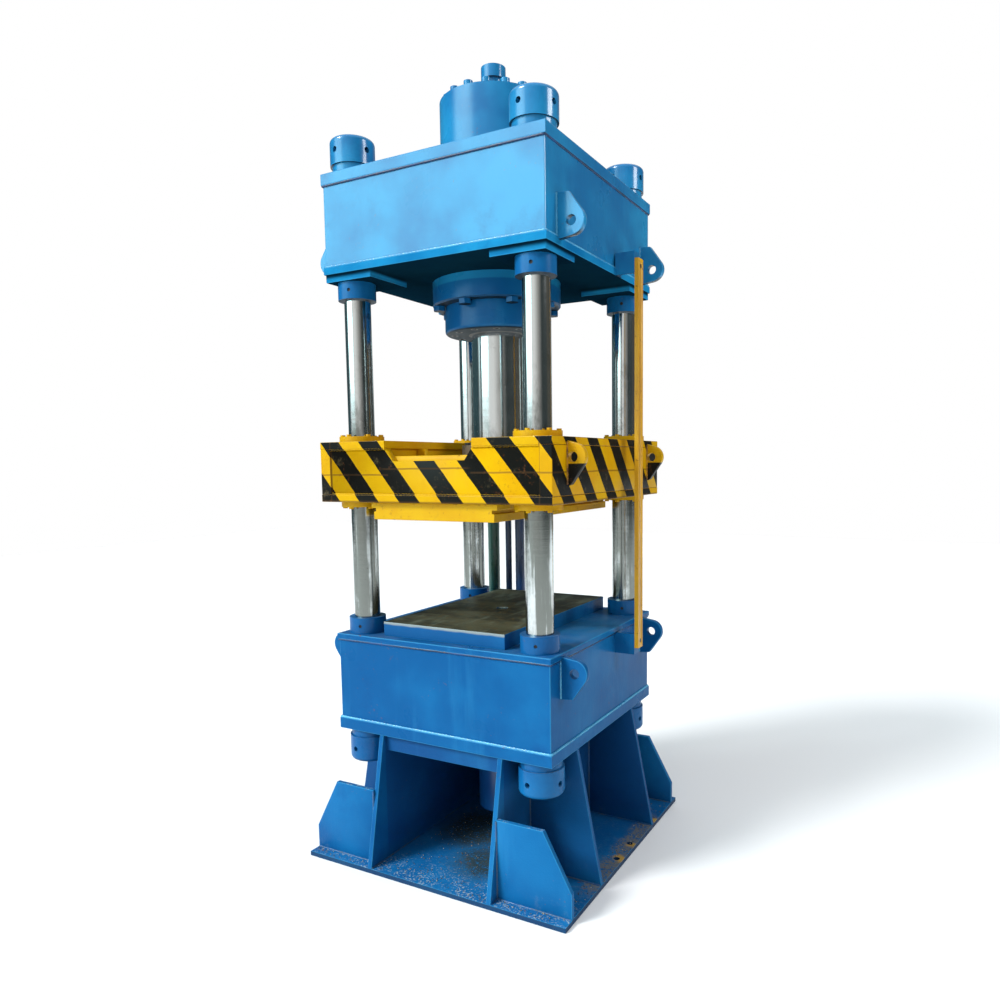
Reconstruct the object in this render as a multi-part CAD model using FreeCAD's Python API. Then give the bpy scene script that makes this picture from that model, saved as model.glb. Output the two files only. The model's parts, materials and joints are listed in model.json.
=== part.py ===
"""Four-column hydraulic press: welded bed and crown, guided moving platen, ram and ejector.

Millimetres, +Z up, the operator stands on the -Y side. The origin is the middle of
the base plate's underside. The platen is drawn part way down its stroke.
"""
import FreeCAD, Part
import math
import os

# ---------------------------------------------------------------- driving dimensions
# Pedestal
base_spread_x = 100.0
base_spread_y = 100.0
base_thickness = 20.0
anchor_inset = 28.0
anchor_spacing = 144.0
anchor_hole_diameter = 26.0
pedestal_height = 520.0
rib_plate = 20.0
rib_spacing = 562.0
gusset_setback = 60.0
gusset_height = 305.0
gusset_nose_height = 95.0
gusset_top_width = 195.0
header_height = 65.0
header_setback = 20.0

# Bed and crown boxes
frame_width = 1000.0
frame_depth = 1000.0
flange_lip = 6.0
wall_plate = 30.0
inner_plate = 20.0
bed_height = 405.0
bed_bottom_plate_thickness = 48.0
bed_top_plate_thickness = 24.0
crown_height = 388.0
crown_bottom_plate_thickness = 30.0
crown_top_plate_thickness = 45.0
pad_size = 225.0
pad_thickness = 30.0
tie_height = 1415.0

# Columns and what is on them
column_inset_x = 90.0
column_inset_y = 90.0
column_diameter = 105.0
column_chamfer = 4.0
column_tube_wall = 16.0
washer_rim = 27.5
washer_thickness = 30.0
nut_wall = 35.0
nut_height = 105.0
nut_edge_radius = 18.0
tommy_hole_count = 4
tommy_hole_diameter = 22.0
tommy_hole_depth = 22.0
tommy_hole_turn = -10.0
collar_wall = 22.5
collar_height = 66.0
collar_screw_diameter = 14.0
collar_screw_turn = -75.0
collar_screw_gap = 0.5
collar_screw_sink = 4.5

# Work table and daylight
bolster_side_gap = 50.0
bolster_setback = 42.0
bolster_thickness = 59.0
bolster_bolt_diameter = 24.0
bolster_bolt_inset = 60.0
daylight = 420.0

# Moving platen
platen_overhang_x = 28.0
platen_overhang_y = 28.0
platen_height = 240.0
platen_plate = 30.0
platen_side_plate = 50.0
platen_front_inset = 7.0
slot_width = 400.0
slot_shoulder = 36.0
slot_depth = 80.0
deck_drop = 60.0
web_setback = 12.0
slot_rib_reach = 40.0
slot_rib_spacing = 590.0
adapter_side_gap = 30.0
adapter_setback = 23.0
adapter_thickness = 67.0
adapter_flange_thickness = 22.0
adapter_groove_height = 14.0
adapter_groove_depth = 22.0
adapter_foot_inset = 12.0
adapter_bolt_diameter = 20.0
adapter_bolt_inset_x = 145.0
adapter_bolt_inset_y = 168.0
adapter_bolt_sink = 22.0

# Platen guides
bush_wall = 12.0
bush_length = 110.0
guide_flange_rim = 25.5
guide_flange_thickness = 22.0
guide_bolt_diameter = 12.0
guide_bolt_count = 6
guide_bolt_turn = 30.0
guide_tube_wall = 14.0

# Main cylinder and ram
barrel_bore = 320.0
barrel_wall = 64.0
barrel_flange_rim = 46.0
barrel_flange_thickness = 100.0
barrel_flange_chamfer = 6.0
flange_bolt_diameter = 30.0
flange_bolt_count = 8
gland_setback = 3.5
gland_height = 110.0
gland_edge_radius = 14.0
gland_screw_diameter = 20.0
gland_screw_count = 12
gland_screw_margin = 20.0
ram_diameter = 220.0
rod_bush_wall = 10.0
rod_bush_length = 70.0
rod_seal_section = 12.0
wiper_height = 12.0
piston_length = 130.0
piston_seal_depth = 8.0
piston_seal_height = 18.0
piston_seal_spacing = 43.0
cover_thickness = 40.0
cover_bolt_diameter = 24.0
cover_bolt_count = 16
cover_seal_section = 8.0
cover_port_diameter = 40.0
piston_cushion = 12.0
piston_headroom = 38.0
stroke_down = 250.0
stroke_up = 350.0
ram_foot = 15.0
ram_flange_rim = 50.0
ram_flange_thickness = 45.0
ram_flange_bolt_diameter = 20.0
ram_flange_bolt_count = 8
ram_flange_bolt_turn = 22.5
ram_groove_depth = 15.0
port_neck_diameter = 78.0
port_flange_diameter = 102.0
port_height = 150.0
port_flange_thickness = 48.0
port_foot_thickness = 16.0
port_bore = 32.0

# Ejector under the bed
ejector_bore = 140.0
ejector_wall = 45.0
ejector_length = 420.0
ejector_flange_rim = 35.0
ejector_flange_thickness = 30.0
ejector_rod_diameter = 50.0
ejector_piston_length = 60.0
ejector_bolt_diameter = 20.0
ejector_bolt_count = 8
ejector_base_thickness = 30.0
ejector_head_thickness = 50.0
ejector_rod_recess = 2.0

# Lugs on the corners of crown, platen and bed
lug_plate = 25.0
lug_setback_y = 100.0
lug_hole_diameter = 38.0
lug_nose_radius = 50.0
lug_hole_inset = 50.0
lug_root_reach = 102.0
lug_shoulder_reach = 98.0
lug_foot_reach = 58.0
lug_shoulder = 42.0
crown_lug_drop = 312.0
bed_lug_drop = 71.0
platen_lug_drop = 73.0

# Upright switch rail on the right-hand side
rail_width = 50.0
rail_height = 18.0
rail_plate = 6.0
rail_start = 100.0
rail_screw_diameter = 10.0
rail_screw_head_diameter = 18.0
rail_screw_head = 4.0
rail_overlap = 58.0
bracket_plate = 8.0
bracket_height = 86.0

# Pipes up the back
pipe_diameters = (60.0, 32.0, 48.0)
pipe_places = (-385.0, -295.0, -228.0)
pipe_wall = 5.0
pipe_start_height = 620.0
pipe_rise_into_crown = 100.0
pipe_collar_width = 5.0
pipe_collar_height = 18.0
pipe_socket_depth = 30.0
pipe_socket_step = 2.0
clamp_level = 800.0
clamp_height = 40.0
clamp_margin = 12.0
clamp_cap = 5.0

# Bolt and screw proportions, as shares of the thread's size
hex_head_height = 0.65
hex_across_flats = 1.5
cap_head_width = 1.5
cap_socket_width = 0.8
cap_socket_start = 0.45
short_thread = 1.5
long_thread = 2.0

# Clearances
running = 0.08
seal_gap = 0.4
bore_gap = 1.0
pipe_gap = 7.0
over = 1.0

# ---------------------------------------------------------------- derived sizes
base_width = frame_width + 2 * base_spread_x
base_depth = frame_depth + 2 * base_spread_y
column_spacing_x = frame_width - 2 * column_inset_x
column_spacing_y = frame_depth - 2 * column_inset_y
column_hole = column_diameter + 2 * bore_gap
washer_diameter = column_diameter + 2 * washer_rim
nut_diameter = column_diameter + 2 * nut_wall
collar_diameter = column_diameter + 2 * collar_wall
bush_outer = column_diameter + 2 * bush_wall
guide_flange_diameter = bush_outer + 2 * guide_flange_rim
bolster_width = column_spacing_x - collar_diameter - 2 * bolster_side_gap
bolster_depth = frame_depth - 2 * bolster_setback
platen_width = frame_width + 2 * platen_overhang_x
platen_depth = frame_depth + 2 * platen_overhang_y
adapter_width = column_spacing_x - guide_flange_diameter - 2 * adapter_side_gap
adapter_depth = platen_depth - 2 * adapter_setback
barrel_diameter = barrel_bore + 2 * barrel_wall
barrel_flange_diameter = barrel_diameter + 2 * barrel_flange_rim
flange_bolt_circle = (barrel_flange_diameter + barrel_diameter) / 2
cover_bolt_circle = (barrel_diameter + barrel_bore) / 2
gland_diameter = barrel_diameter - 2 * gland_setback
gland_screw_circle = (gland_diameter + ram_diameter) / 2 + rod_seal_section + gland_screw_margin
piston_diameter = barrel_bore - 2 * running
ram_flange_diameter = ram_diameter + 2 * ram_flange_rim
ram_flange_circle = (ram_flange_diameter + ram_diameter) / 2
ram_neck_diameter = ram_diameter - 2 * ram_groove_depth
ejector_diameter = ejector_bore + 2 * ejector_wall
ejector_flange_diameter = ejector_diameter + 2 * ejector_flange_rim
ejector_bolt_circle = (ejector_flange_diameter + ejector_diameter) / 2
ejector_bolt_reach = short_thread * ejector_bolt_diameter
rail_face = base_width / 2
pipe_centre_y = platen_depth / 2 + pipe_gap + max(pipe_diameters) / 2

# ---------------------------------------------------------------- derived levels
bed_bottom = base_thickness + pedestal_height
bed_top = bed_bottom + bed_height
bolster_top = bed_top + bolster_thickness
adapter_bottom = bolster_top + daylight
platen_bottom = adapter_bottom + adapter_thickness
platen_top = platen_bottom + platen_height
deck_top = platen_top - deck_drop
deck_bottom = deck_top - platen_plate
pad_bottom = bed_top + tie_height
crown_bottom = pad_bottom + pad_thickness
crown_top = crown_bottom + crown_height
barrel_bottom = crown_bottom - barrel_flange_thickness
gland_bottom = barrel_bottom - gland_height
rod_bush_bottom = barrel_bottom - rod_bush_length
piston_bottom = barrel_bottom + stroke_down + piston_cushion
piston_top = piston_bottom + piston_length
barrel_top = piston_top + stroke_up + piston_headroom
column_low = bed_bottom - washer_thickness - nut_height + column_chamfer
column_high = crown_top + washer_thickness + nut_height - column_chamfer
clamp_top = clamp_level + clamp_height
corners = [(sx, sy) for sx in (-1, 1) for sy in (-1, 1)]


# ---------------------------------------------------------------- small shape helpers
def block(x0, x1, y0, y1, z0, z1):
    """Box between two corners."""
    low = FreeCAD.Vector(min(x0, x1), min(y0, y1), z0)
    return Part.makeBox(abs(x1 - x0), abs(y1 - y0), z1 - z0, low)


def plate(width, depth, z0, z1):
    """Box centred on the press's axis."""
    return block(-width / 2, width / 2, -depth / 2, depth / 2, z0, z1)


def rod(diameter, z0, z1, x=0.0, y=0.0):
    """Upright round bar."""
    return Part.makeCylinder(diameter / 2, z1 - z0, FreeCAD.Vector(x, y, z0))


def rods(diameter, z0, z1, places):
    """One upright bar at each place."""
    return [rod(diameter, z0, z1, x, y) for x, y in places]


def ring(outer, inner, z0, z1, x=0.0, y=0.0):
    """Upright tube."""
    return rod(outer, z0, z1, x, y).cut(rod(inner, z0 - over, z1 + over, x, y))


def prism(points, direction):
    """Flat outline pushed along a direction."""
    closed = list(points) + [points[0]]
    face = Part.Face(Part.makePolygon(closed))
    return face.extrude(direction)


def fused(shapes):
    """One solid from overlapping or touching shapes."""
    return shapes[0].multiFuse(shapes[1:]).removeSplitter()


def drilled(shape, cutters):
    """A shape with every cutter taken out of it."""
    return shape.cut(Part.makeCompound(cutters))


def circle_places(count, circle, turn=0.0):
    """Points spaced evenly round a bolt circle."""
    places = []
    for i in range(count):
        angle = turn + 360.0 * i / count
        x = circle / 2 * math.cos(math.radians(angle))
        y = circle / 2 * math.sin(math.radians(angle))
        places.append((x, y))
    return places


def hexagon(across, z0, z1, x=0.0, y=0.0):
    """Upright hexagonal prism, with its width across flats."""
    radius = across / math.sqrt(3)
    points = []
    for i in range(6):
        angle = math.radians(60 * i)
        points.append(FreeCAD.Vector(x + radius * math.cos(angle), y + radius * math.sin(angle), z0))
    return prism(points, FreeCAD.Vector(0, 0, z1 - z0))


def hex_bolt(size, seat, reach, x, y, up=True):
    """Hex bolt with its head above the seat, or below it when up is False."""
    head = hex_head_height * size
    across = hex_across_flats * size
    if up:
        return hexagon(across, seat, seat + head, x, y).fuse(rod(size, seat - reach, seat, x, y))
    return hexagon(across, seat - head, seat, x, y).fuse(rod(size, seat, seat + reach, x, y))


def socket_screw(size, seat, reach, x, y, up=True):
    """Socket-head cap screw with its hexagonal recess."""
    width = cap_head_width * size
    socket = cap_socket_width * size
    start = cap_socket_start * size
    if up:
        body = rod(width, seat, seat + size, x, y).fuse(rod(size, seat - reach, seat, x, y))
        return body.cut(hexagon(socket, seat + start, seat + size + over, x, y))
    body = rod(width, seat - size, seat, x, y).fuse(rod(size, seat, seat + reach, x, y))
    return body.cut(hexagon(socket, seat - size - over, seat - start, x, y))


def bottom_rim(shape, level):
    """The round edges at a shape's lowest level."""
    return [e for e in shape.Edges if e.BoundBox.ZMax < level + over and isinstance(e.Curve, Part.Circle)]


def ejector_bolt_places():
    return circle_places(ejector_bolt_count, ejector_bolt_circle)


def flange_bolt_places():
    return circle_places(flange_bolt_count, flange_bolt_circle)


def gland_screw_places():
    return circle_places(gland_screw_count, gland_screw_circle)


def cover_bolt_places():
    return circle_places(cover_bolt_count, cover_bolt_circle)


def ram_flange_bolt_places():
    return circle_places(ram_flange_bolt_count, ram_flange_circle, ram_flange_bolt_turn)


def column_places():
    """Centres of the four columns."""
    return [(sx * column_spacing_x / 2, sy * column_spacing_y / 2) for sx, sy in corners]


def column_holes(diameter, z0, z1):
    """Cutters for the four columns."""
    return rods(diameter, z0 - over, z1 + over, column_places())


def save(name, shape):
    """Write one node."""
    if isinstance(shape, (list, tuple)):
        shape = Part.makeCompound(list(shape))
    shape.exportStep("parts/" + name + ".step")


# ---------------------------------------------------------------- pedestal
def base_plate():
    hole_x = base_width / 2 - anchor_inset
    holes = []
    for sx, sy in corners:
        hole_y = sy * anchor_spacing / 2
        holes.append(rod(anchor_hole_diameter, -over, base_thickness + over, sx * hole_x, hole_y))
    return drilled(plate(base_width, base_depth, 0, base_thickness), holes)


def long_rib(side):
    """Front-to-back rib whose ends slope from the bed's edge out to the base plate's edge."""
    x = side * rib_spacing / 2 - rib_plate / 2
    low = base_depth / 2
    high = frame_depth / 2
    outline = [(-low, base_thickness), (low, base_thickness), (high, bed_bottom), (-high, bed_bottom)]
    points = [FreeCAD.Vector(x, y, z) for y, z in outline]
    return prism(points, FreeCAD.Vector(rib_plate, 0, 0))


def cross_ribs():
    """Four ribs that run out sideways from the long ribs, with sloped outer ends."""
    ribs = []
    root = rib_spacing / 2 + rib_plate / 2
    for sx, sy in corners:
        y = sy * rib_spacing / 2 - rib_plate / 2
        outline = [
            (root, base_thickness),
            (base_width / 2, base_thickness),
            (frame_width / 2, bed_bottom),
            (root, bed_bottom),
        ]
        points = [FreeCAD.Vector(sx * px, y, z) for px, z in outline]
        ribs.append(prism(points, FreeCAD.Vector(0, rib_plate, 0)))
    return ribs


def back_web():
    """Plate that closes the middle bay behind the ejector."""
    half = rib_spacing / 2 - rib_plate / 2
    y = rib_spacing / 2
    return block(-half, half, y - rib_plate / 2, y + rib_plate / 2, base_thickness, bed_bottom)


def gussets():
    """Four outboard gussets with a level top, a sloped edge and a short upright nose."""
    shapes = []
    root = rib_spacing / 2 + rib_plate / 2
    for sx, sy in corners:
        y = sy * (base_depth / 2 - gusset_setback) - rib_plate / 2
        outline = [
            (root, base_thickness),
            (base_width / 2, base_thickness),
            (base_width / 2, base_thickness + gusset_nose_height),
            (root + gusset_top_width, base_thickness + gusset_height),
            (root, base_thickness + gusset_height),
        ]
        points = [FreeCAD.Vector(sx * px, y, z) for px, z in outline]
        shapes.append(prism(points, FreeCAD.Vector(0, rib_plate, 0)))
    return shapes


def headers():
    """Plates that close the top of the middle bay at the front and back."""
    half = rib_spacing / 2 - rib_plate / 2
    shapes = []
    for side in (-1, 1):
        outer = side * (frame_depth / 2 - header_setback)
        inner = outer - side * rib_plate
        shapes.append(block(-half, half, outer, inner, bed_bottom - header_height, bed_bottom))
    return shapes


# ---------------------------------------------------------------- welded boxes
def box_walls(width, depth, thickness, z0, z1):
    """Four upright walls as one ring."""
    outside = plate(width, depth, z0, z1)
    return outside.cut(plate(width - 2 * thickness, depth - 2 * thickness, z0 - over, z1 + over))


def welded_box(z0, z1, hub):
    """Walls, column tubes and cross plates round a clear middle of diameter hub."""
    width = frame_width - 2 * flange_lip
    depth = frame_depth - 2 * flange_lip
    parts = [box_walls(width, depth, wall_plate, z0, z1)]
    parts.append(plate(width - wall_plate, inner_plate, z0, z1))
    parts.append(plate(inner_plate, depth - wall_plate, z0, z1))
    for x, y in column_places():
        parts.append(rod(column_hole + 2 * column_tube_wall, z0, z1, x, y))
    cutters = [rod(hub, z0 - over, z1 + over)] + column_holes(column_hole, z0, z1)
    return drilled(fused(parts), cutters)


def bed_box():
    return welded_box(
        bed_bottom + bed_bottom_plate_thickness,
        bed_top - bed_top_plate_thickness,
        ejector_diameter,
    )


def bed_bottom_plate():
    z1 = bed_bottom + bed_bottom_plate_thickness
    cutters = column_holes(column_hole, bed_bottom, z1)
    cutters.append(rod(ejector_rod_diameter + 2 * bore_gap, bed_bottom - over, z1 + over))
    thread_end = bed_bottom + ejector_bolt_reach
    cutters += rods(ejector_bolt_diameter, bed_bottom - over, thread_end, ejector_bolt_places())
    return drilled(plate(frame_width, frame_depth, bed_bottom, z1), cutters)


def bed_top_plate():
    z0 = bed_top - bed_top_plate_thickness
    cutters = column_holes(column_hole, z0, bed_top)
    cutters.append(rod(ejector_rod_diameter + 2 * bore_gap, z0 - over, bed_top + over))
    cutters += rods(bolster_bolt_diameter, z0 - over, bed_top + over, bolster_bolt_places())
    return drilled(plate(frame_width, frame_depth, z0, bed_top), cutters)


def bolster_bolt_places():
    x = bolster_width / 2 - bolster_bolt_inset
    y = bolster_depth / 2 - bolster_bolt_inset
    return [(sx * x, sy * y) for sx, sy in corners]


def bolster():
    """Loose work plate between the columns, held from below."""
    cutters = [rod(ejector_rod_diameter + 2 * bore_gap, bed_top - over, bolster_top + over)]
    thread_end = bed_top + short_thread * bolster_bolt_diameter
    cutters += rods(bolster_bolt_diameter, bed_top - over, thread_end, bolster_bolt_places())
    return drilled(plate(bolster_width, bolster_depth, bed_top, bolster_top), cutters)


def bolster_bolts():
    seat = bed_top - bed_top_plate_thickness
    reach = bed_top_plate_thickness + short_thread * bolster_bolt_diameter
    size = bolster_bolt_diameter
    return [hex_bolt(size, seat, reach, x, y, up=False) for x, y in bolster_bolt_places()]


def crown_box():
    hub = barrel_diameter + 2 * bore_gap
    return welded_box(
        crown_bottom + crown_bottom_plate_thickness,
        crown_top - crown_top_plate_thickness,
        hub,
    )


def crown_bottom_plate():
    """Bottom plate with a square seat pad at each corner for the columns."""
    z1 = crown_bottom + crown_bottom_plate_thickness
    parts = [plate(frame_width, frame_depth, crown_bottom, z1)]
    for sx, sy in corners:
        x = sx * (frame_width / 2 - flange_lip)
        y = sy * (frame_depth / 2 - flange_lip)
        parts.append(block(x, x - sx * pad_size, y, y - sy * pad_size, pad_bottom, crown_bottom))
    cutters = column_holes(column_hole, pad_bottom, z1)
    cutters.append(rod(barrel_diameter + 2 * bore_gap, crown_bottom - over, z1 + over))
    cutters += rods(flange_bolt_diameter, crown_bottom - over, z1 + over, flange_bolt_places())
    return drilled(fused(parts), cutters)


def crown_top_plate():
    z0 = crown_top - crown_top_plate_thickness
    cutters = column_holes(column_hole, z0, crown_top)
    cutters.append(rod(barrel_diameter + 2 * bore_gap, z0 - over, crown_top + over))
    return drilled(plate(frame_width, frame_depth, z0, crown_top), cutters)


# ---------------------------------------------------------------- lugs
def tangent_point(x, z, side):
    """Where a straight edge from x, z meets the nose circle, which is centred on the hole."""
    distance = math.hypot(x, z)
    to_point = math.atan2(z, x)
    opening = math.acos(lug_nose_radius / distance)
    angle = to_point - side * opening
    return lug_nose_radius * math.cos(angle), lug_nose_radius * math.sin(angle)


def lug(root_x, hole_z, long_side, sx, sy):
    """One lug with its hole: long_side is 1 when the long slope is above the hole."""
    hole_x = frame_width / 2 + lug_hole_inset
    shoulder_x = lug_shoulder - lug_hole_inset
    inner_x = root_x - hole_x
    slope_x, slope_z = tangent_point(shoulder_x, lug_shoulder_reach, 1)
    foot_x, foot_z = tangent_point(inner_x, -lug_foot_reach, -1)
    outline = [
        (inner_x, lug_root_reach),
        (shoulder_x, lug_shoulder_reach),
        (slope_x, slope_z),
        (foot_x, foot_z),
        (inner_x, -lug_foot_reach),
    ]
    y0 = sy * (frame_depth / 2 - lug_setback_y) - lug_plate / 2
    y1 = y0 + lug_plate
    points = [FreeCAD.Vector(sx * (hole_x + px), y0, hole_z + long_side * pz) for px, pz in outline]
    web = prism(points, FreeCAD.Vector(0, lug_plate, 0))
    centre = FreeCAD.Vector(sx * hole_x, y0, hole_z)
    nose = Part.makeCylinder(lug_nose_radius, lug_plate, centre, FreeCAD.Vector(0, 1, 0))
    outer_x = hole_x + lug_nose_radius
    low = hole_z - lug_nose_radius
    high = hole_z + lug_nose_radius
    nose_box = block(sx * root_x, sx * outer_x, y0, y1, low, high)
    start = FreeCAD.Vector(sx * hole_x, y0 - over, hole_z)
    hole = Part.makeCylinder(lug_hole_diameter / 2, lug_plate + 2 * over, start, FreeCAD.Vector(0, 1, 0))
    return fused([web, nose.common(nose_box)]).cut(hole)


def lug_set(root_x, hole_z, long_side):
    return [lug(root_x, hole_z, long_side, sx, sy) for sx, sy in corners]


def bed_lugs():
    """Lugs on the bed's side walls, notched round the lip of the top plate."""
    lip = plate(frame_width, frame_depth, bed_top - bed_top_plate_thickness, bed_top)
    lugs = lug_set(frame_width / 2 - flange_lip, bed_top - bed_lug_drop, -1)
    return [one.cut(lip) for one in lugs]


def crown_lugs():
    """Lugs on the crown's side walls, notched round the lip of the bottom plate."""
    lip = plate(frame_width, frame_depth, crown_bottom, crown_bottom + crown_bottom_plate_thickness)
    lugs = lug_set(frame_width / 2 - flange_lip, crown_top - crown_lug_drop, 1)
    return [one.cut(lip) for one in lugs]


# ---------------------------------------------------------------- columns
def column(x, y):
    """Round column with chamfered ends."""
    bar = Part.makeCylinder(column_diameter / 2, column_high - column_low)
    bar = bar.makeChamfer(column_chamfer, [e for e in bar.Edges if isinstance(e.Curve, Part.Circle)])
    bar.translate(FreeCAD.Vector(x, y, column_low))
    return bar


def round_nut():
    """Round nut standing on z = 0, with four tommy-bar holes and a rounded top edge."""
    body = Part.makeCylinder(nut_diameter / 2, nut_height)
    top_edge = [e for e in body.Edges if isinstance(e.Curve, Part.Circle) and e.BoundBox.ZMin > over]
    body = body.makeFillet(nut_edge_radius, top_edge)
    cutters = [rod(column_diameter, -1, nut_height + over)]
    for i in range(tommy_hole_count):
        angle = math.radians(360 * i / tommy_hole_count + tommy_hole_turn)
        outward = FreeCAD.Vector(math.cos(angle), math.sin(angle), 0)
        start = outward * (nut_diameter / 2 - tommy_hole_depth) + FreeCAD.Vector(0, 0, nut_height / 2)
        length = tommy_hole_depth + over
        cutters.append(Part.makeCylinder(tommy_hole_diameter / 2, length, start, outward))
    return drilled(body, cutters)


def column_nuts():
    nuts = []
    upper = round_nut()
    lower = upper.mirror(FreeCAD.Vector(0, 0, 0), FreeCAD.Vector(0, 0, 1))
    for x, y in column_places():
        for nut, z in ((upper, crown_top + washer_thickness), (lower, bed_bottom - washer_thickness)):
            copy = nut.copy()
            copy.translate(FreeCAD.Vector(x, y, z))
            nuts.append(copy)
    return nuts


def column_washers():
    washers = []
    for x, y in column_places():
        for z in (bed_bottom - washer_thickness, crown_top):
            washers.append(ring(washer_diameter, column_diameter, z, z + washer_thickness, x, y))
    return washers


def collar_levels():
    """Bottoms of the lower and upper locating collars."""
    return (bed_top, pad_bottom - collar_height)


def cross_bar(x, y, z, inner, outer):
    """Round bar of the collar screw's size, lying outwards from a column between two radii."""
    angle = math.radians(collar_screw_turn)
    outward = FreeCAD.Vector(math.cos(angle), math.sin(angle), 0)
    start = FreeCAD.Vector(x, y, z) + outward * inner
    return Part.makeCylinder(collar_screw_diameter / 2, outer - inner, start, outward)


def column_collars():
    collars = []
    inner = column_diameter / 2 - over
    outer = collar_diameter / 2 + over
    for x, y in column_places():
        for z in collar_levels():
            body = ring(collar_diameter, column_diameter, z, z + collar_height, x, y)
            hole = cross_bar(x, y, z + collar_height / 2, inner, outer)
            collars.append(body.cut(hole))
    return collars


def collar_screws():
    """Grub screws sunk into the collars, just clear of the columns."""
    screws = []
    inner = column_diameter / 2 + collar_screw_gap
    outer = collar_diameter / 2 - collar_screw_sink
    for x, y in column_places():
        for z in collar_levels():
            screws.append(cross_bar(x, y, z + collar_height / 2, inner, outer))
    return screws


# ---------------------------------------------------------------- main cylinder
def cylinder_barrel():
    """Thick barrel through the crown, with the flange that bears up against it."""
    flange = rod(barrel_flange_diameter, barrel_bottom, crown_bottom)
    flange = flange.makeChamfer(barrel_flange_chamfer, bottom_rim(flange, barrel_bottom))
    body = fused([rod(barrel_diameter, barrel_bottom, barrel_top), flange])
    cutters = [rod(barrel_bore, barrel_bottom - over, barrel_top + over)]
    cutters += rods(flange_bolt_diameter, barrel_bottom - over, crown_bottom + over, flange_bolt_places())
    gland_thread = barrel_bottom + long_thread * gland_screw_diameter
    cutters += rods(gland_screw_diameter, barrel_bottom - over, gland_thread, gland_screw_places())
    cover_thread = barrel_top - long_thread * cover_bolt_diameter
    cutters += rods(cover_bolt_diameter, cover_thread, barrel_top + over, cover_bolt_places())
    return drilled(body, cutters)


def flange_bolts():
    """Hex bolts up through the barrel's flange into the crown's bottom plate."""
    size = flange_bolt_diameter
    reach = crown_bottom + crown_bottom_plate_thickness - barrel_bottom
    return [hex_bolt(size, barrel_bottom, reach, x, y, up=False) for x, y in flange_bolt_places()]


def gland():
    """Lower end of the cylinder that carries the ram's bush, packing and wiper."""
    body = rod(gland_diameter, gland_bottom, barrel_bottom)
    body = body.makeFillet(gland_edge_radius, bottom_rim(body, gland_bottom))
    cutters = [rod(ram_diameter + 2 * rod_bush_wall, rod_bush_bottom, barrel_bottom + over)]
    cutters.append(rod(ram_diameter + 2 * rod_seal_section, gland_bottom - over, rod_bush_bottom))
    for x, y in gland_screw_places():
        head = gland_bottom + gland_screw_diameter
        cutters.append(rod(gland_screw_diameter, gland_bottom - over, barrel_bottom + over, x, y))
        cutters.append(rod(cap_head_width * gland_screw_diameter, gland_bottom - over, head, x, y))
    return drilled(body, cutters)


def gland_screws():
    """Cap screws sunk into the gland's underside."""
    seat = gland_bottom + gland_screw_diameter
    reach = barrel_bottom + long_thread * gland_screw_diameter - seat
    size = gland_screw_diameter
    return [socket_screw(size, seat, reach, x, y, up=False) for x, y in gland_screw_places()]


def rod_bush():
    inner = ram_diameter + 2 * running
    return ring(ram_diameter + 2 * rod_bush_wall, inner, rod_bush_bottom, barrel_bottom)


def rod_seal():
    inner = ram_diameter + 2 * seal_gap
    return ring(ram_diameter + 2 * rod_seal_section, inner, gland_bottom + wiper_height, rod_bush_bottom)


def rod_wiper():
    inner = ram_diameter + 2 * seal_gap
    return ring(ram_diameter + 2 * rod_seal_section, inner, gland_bottom, gland_bottom + wiper_height)


def cylinder_cover():
    """Flat cover on the barrel's top, with a groove for its seal and a port in the middle."""
    z1 = barrel_top + cover_thickness
    cutters = [rod(cover_port_diameter, barrel_top - over, z1 + over)]
    cutters += rods(cover_bolt_diameter, barrel_top - over, z1 + over, cover_bolt_places())
    outer, inner = cover_seal_diameters()
    cutters.append(ring(outer, inner, barrel_top - over, barrel_top + cover_seal_section))
    return drilled(rod(barrel_diameter, barrel_top, z1), cutters)


def cover_seal_diameters():
    inner = barrel_bore + 2 * cover_seal_section
    return inner + 2 * cover_seal_section, inner


def cover_seal():
    outer, inner = cover_seal_diameters()
    return ring(outer, inner, barrel_top, barrel_top + cover_seal_section)


def cover_bolts():
    seat = barrel_top + cover_thickness
    reach = cover_thickness + long_thread * cover_bolt_diameter
    return [socket_screw(cover_bolt_diameter, seat, reach, x, y) for x, y in cover_bolt_places()]


def port_fitting():
    """Flanged pipe stub standing on the cover."""
    z0 = barrel_top + cover_thickness
    z1 = z0 + port_height
    neck = rod(port_neck_diameter, z0, z1)
    flange = rod(port_flange_diameter, z1 - port_flange_thickness, z1)
    foot = rod(port_flange_diameter, z0, z0 + port_foot_thickness)
    return fused([neck, flange, foot]).cut(rod(port_bore, z0 - over, z1 + over))


# ---------------------------------------------------------------- ram and piston
def piston_seal_levels():
    """Bottoms of the two seal grooves, set evenly about the piston's middle."""
    middle = (piston_bottom + piston_top) / 2 - piston_seal_height / 2
    return [middle + side * piston_seal_spacing / 2 for side in (-1, 1)]


def ram():
    """Ground ram with its piston on top and a grooved foot on the platen's deck."""
    stem = rod(ram_diameter, deck_top, piston_bottom)
    piston = rod(piston_diameter, piston_bottom, piston_top)
    body = fused([stem, piston])
    groove_top = deck_top + ram_flange_thickness
    cutters = [ring(ram_diameter + over, ram_neck_diameter, deck_top + ram_foot, groove_top)]
    for z in piston_seal_levels():
        inner = piston_diameter - 2 * piston_seal_depth
        cutters.append(ring(piston_diameter + over, inner, z, z + piston_seal_height))
    return drilled(body, cutters)


def piston_seals():
    outer = barrel_bore - 2 * seal_gap
    inner = piston_diameter - 2 * piston_seal_depth
    return [ring(outer, inner, z, z + piston_seal_height) for z in piston_seal_levels()]


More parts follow.
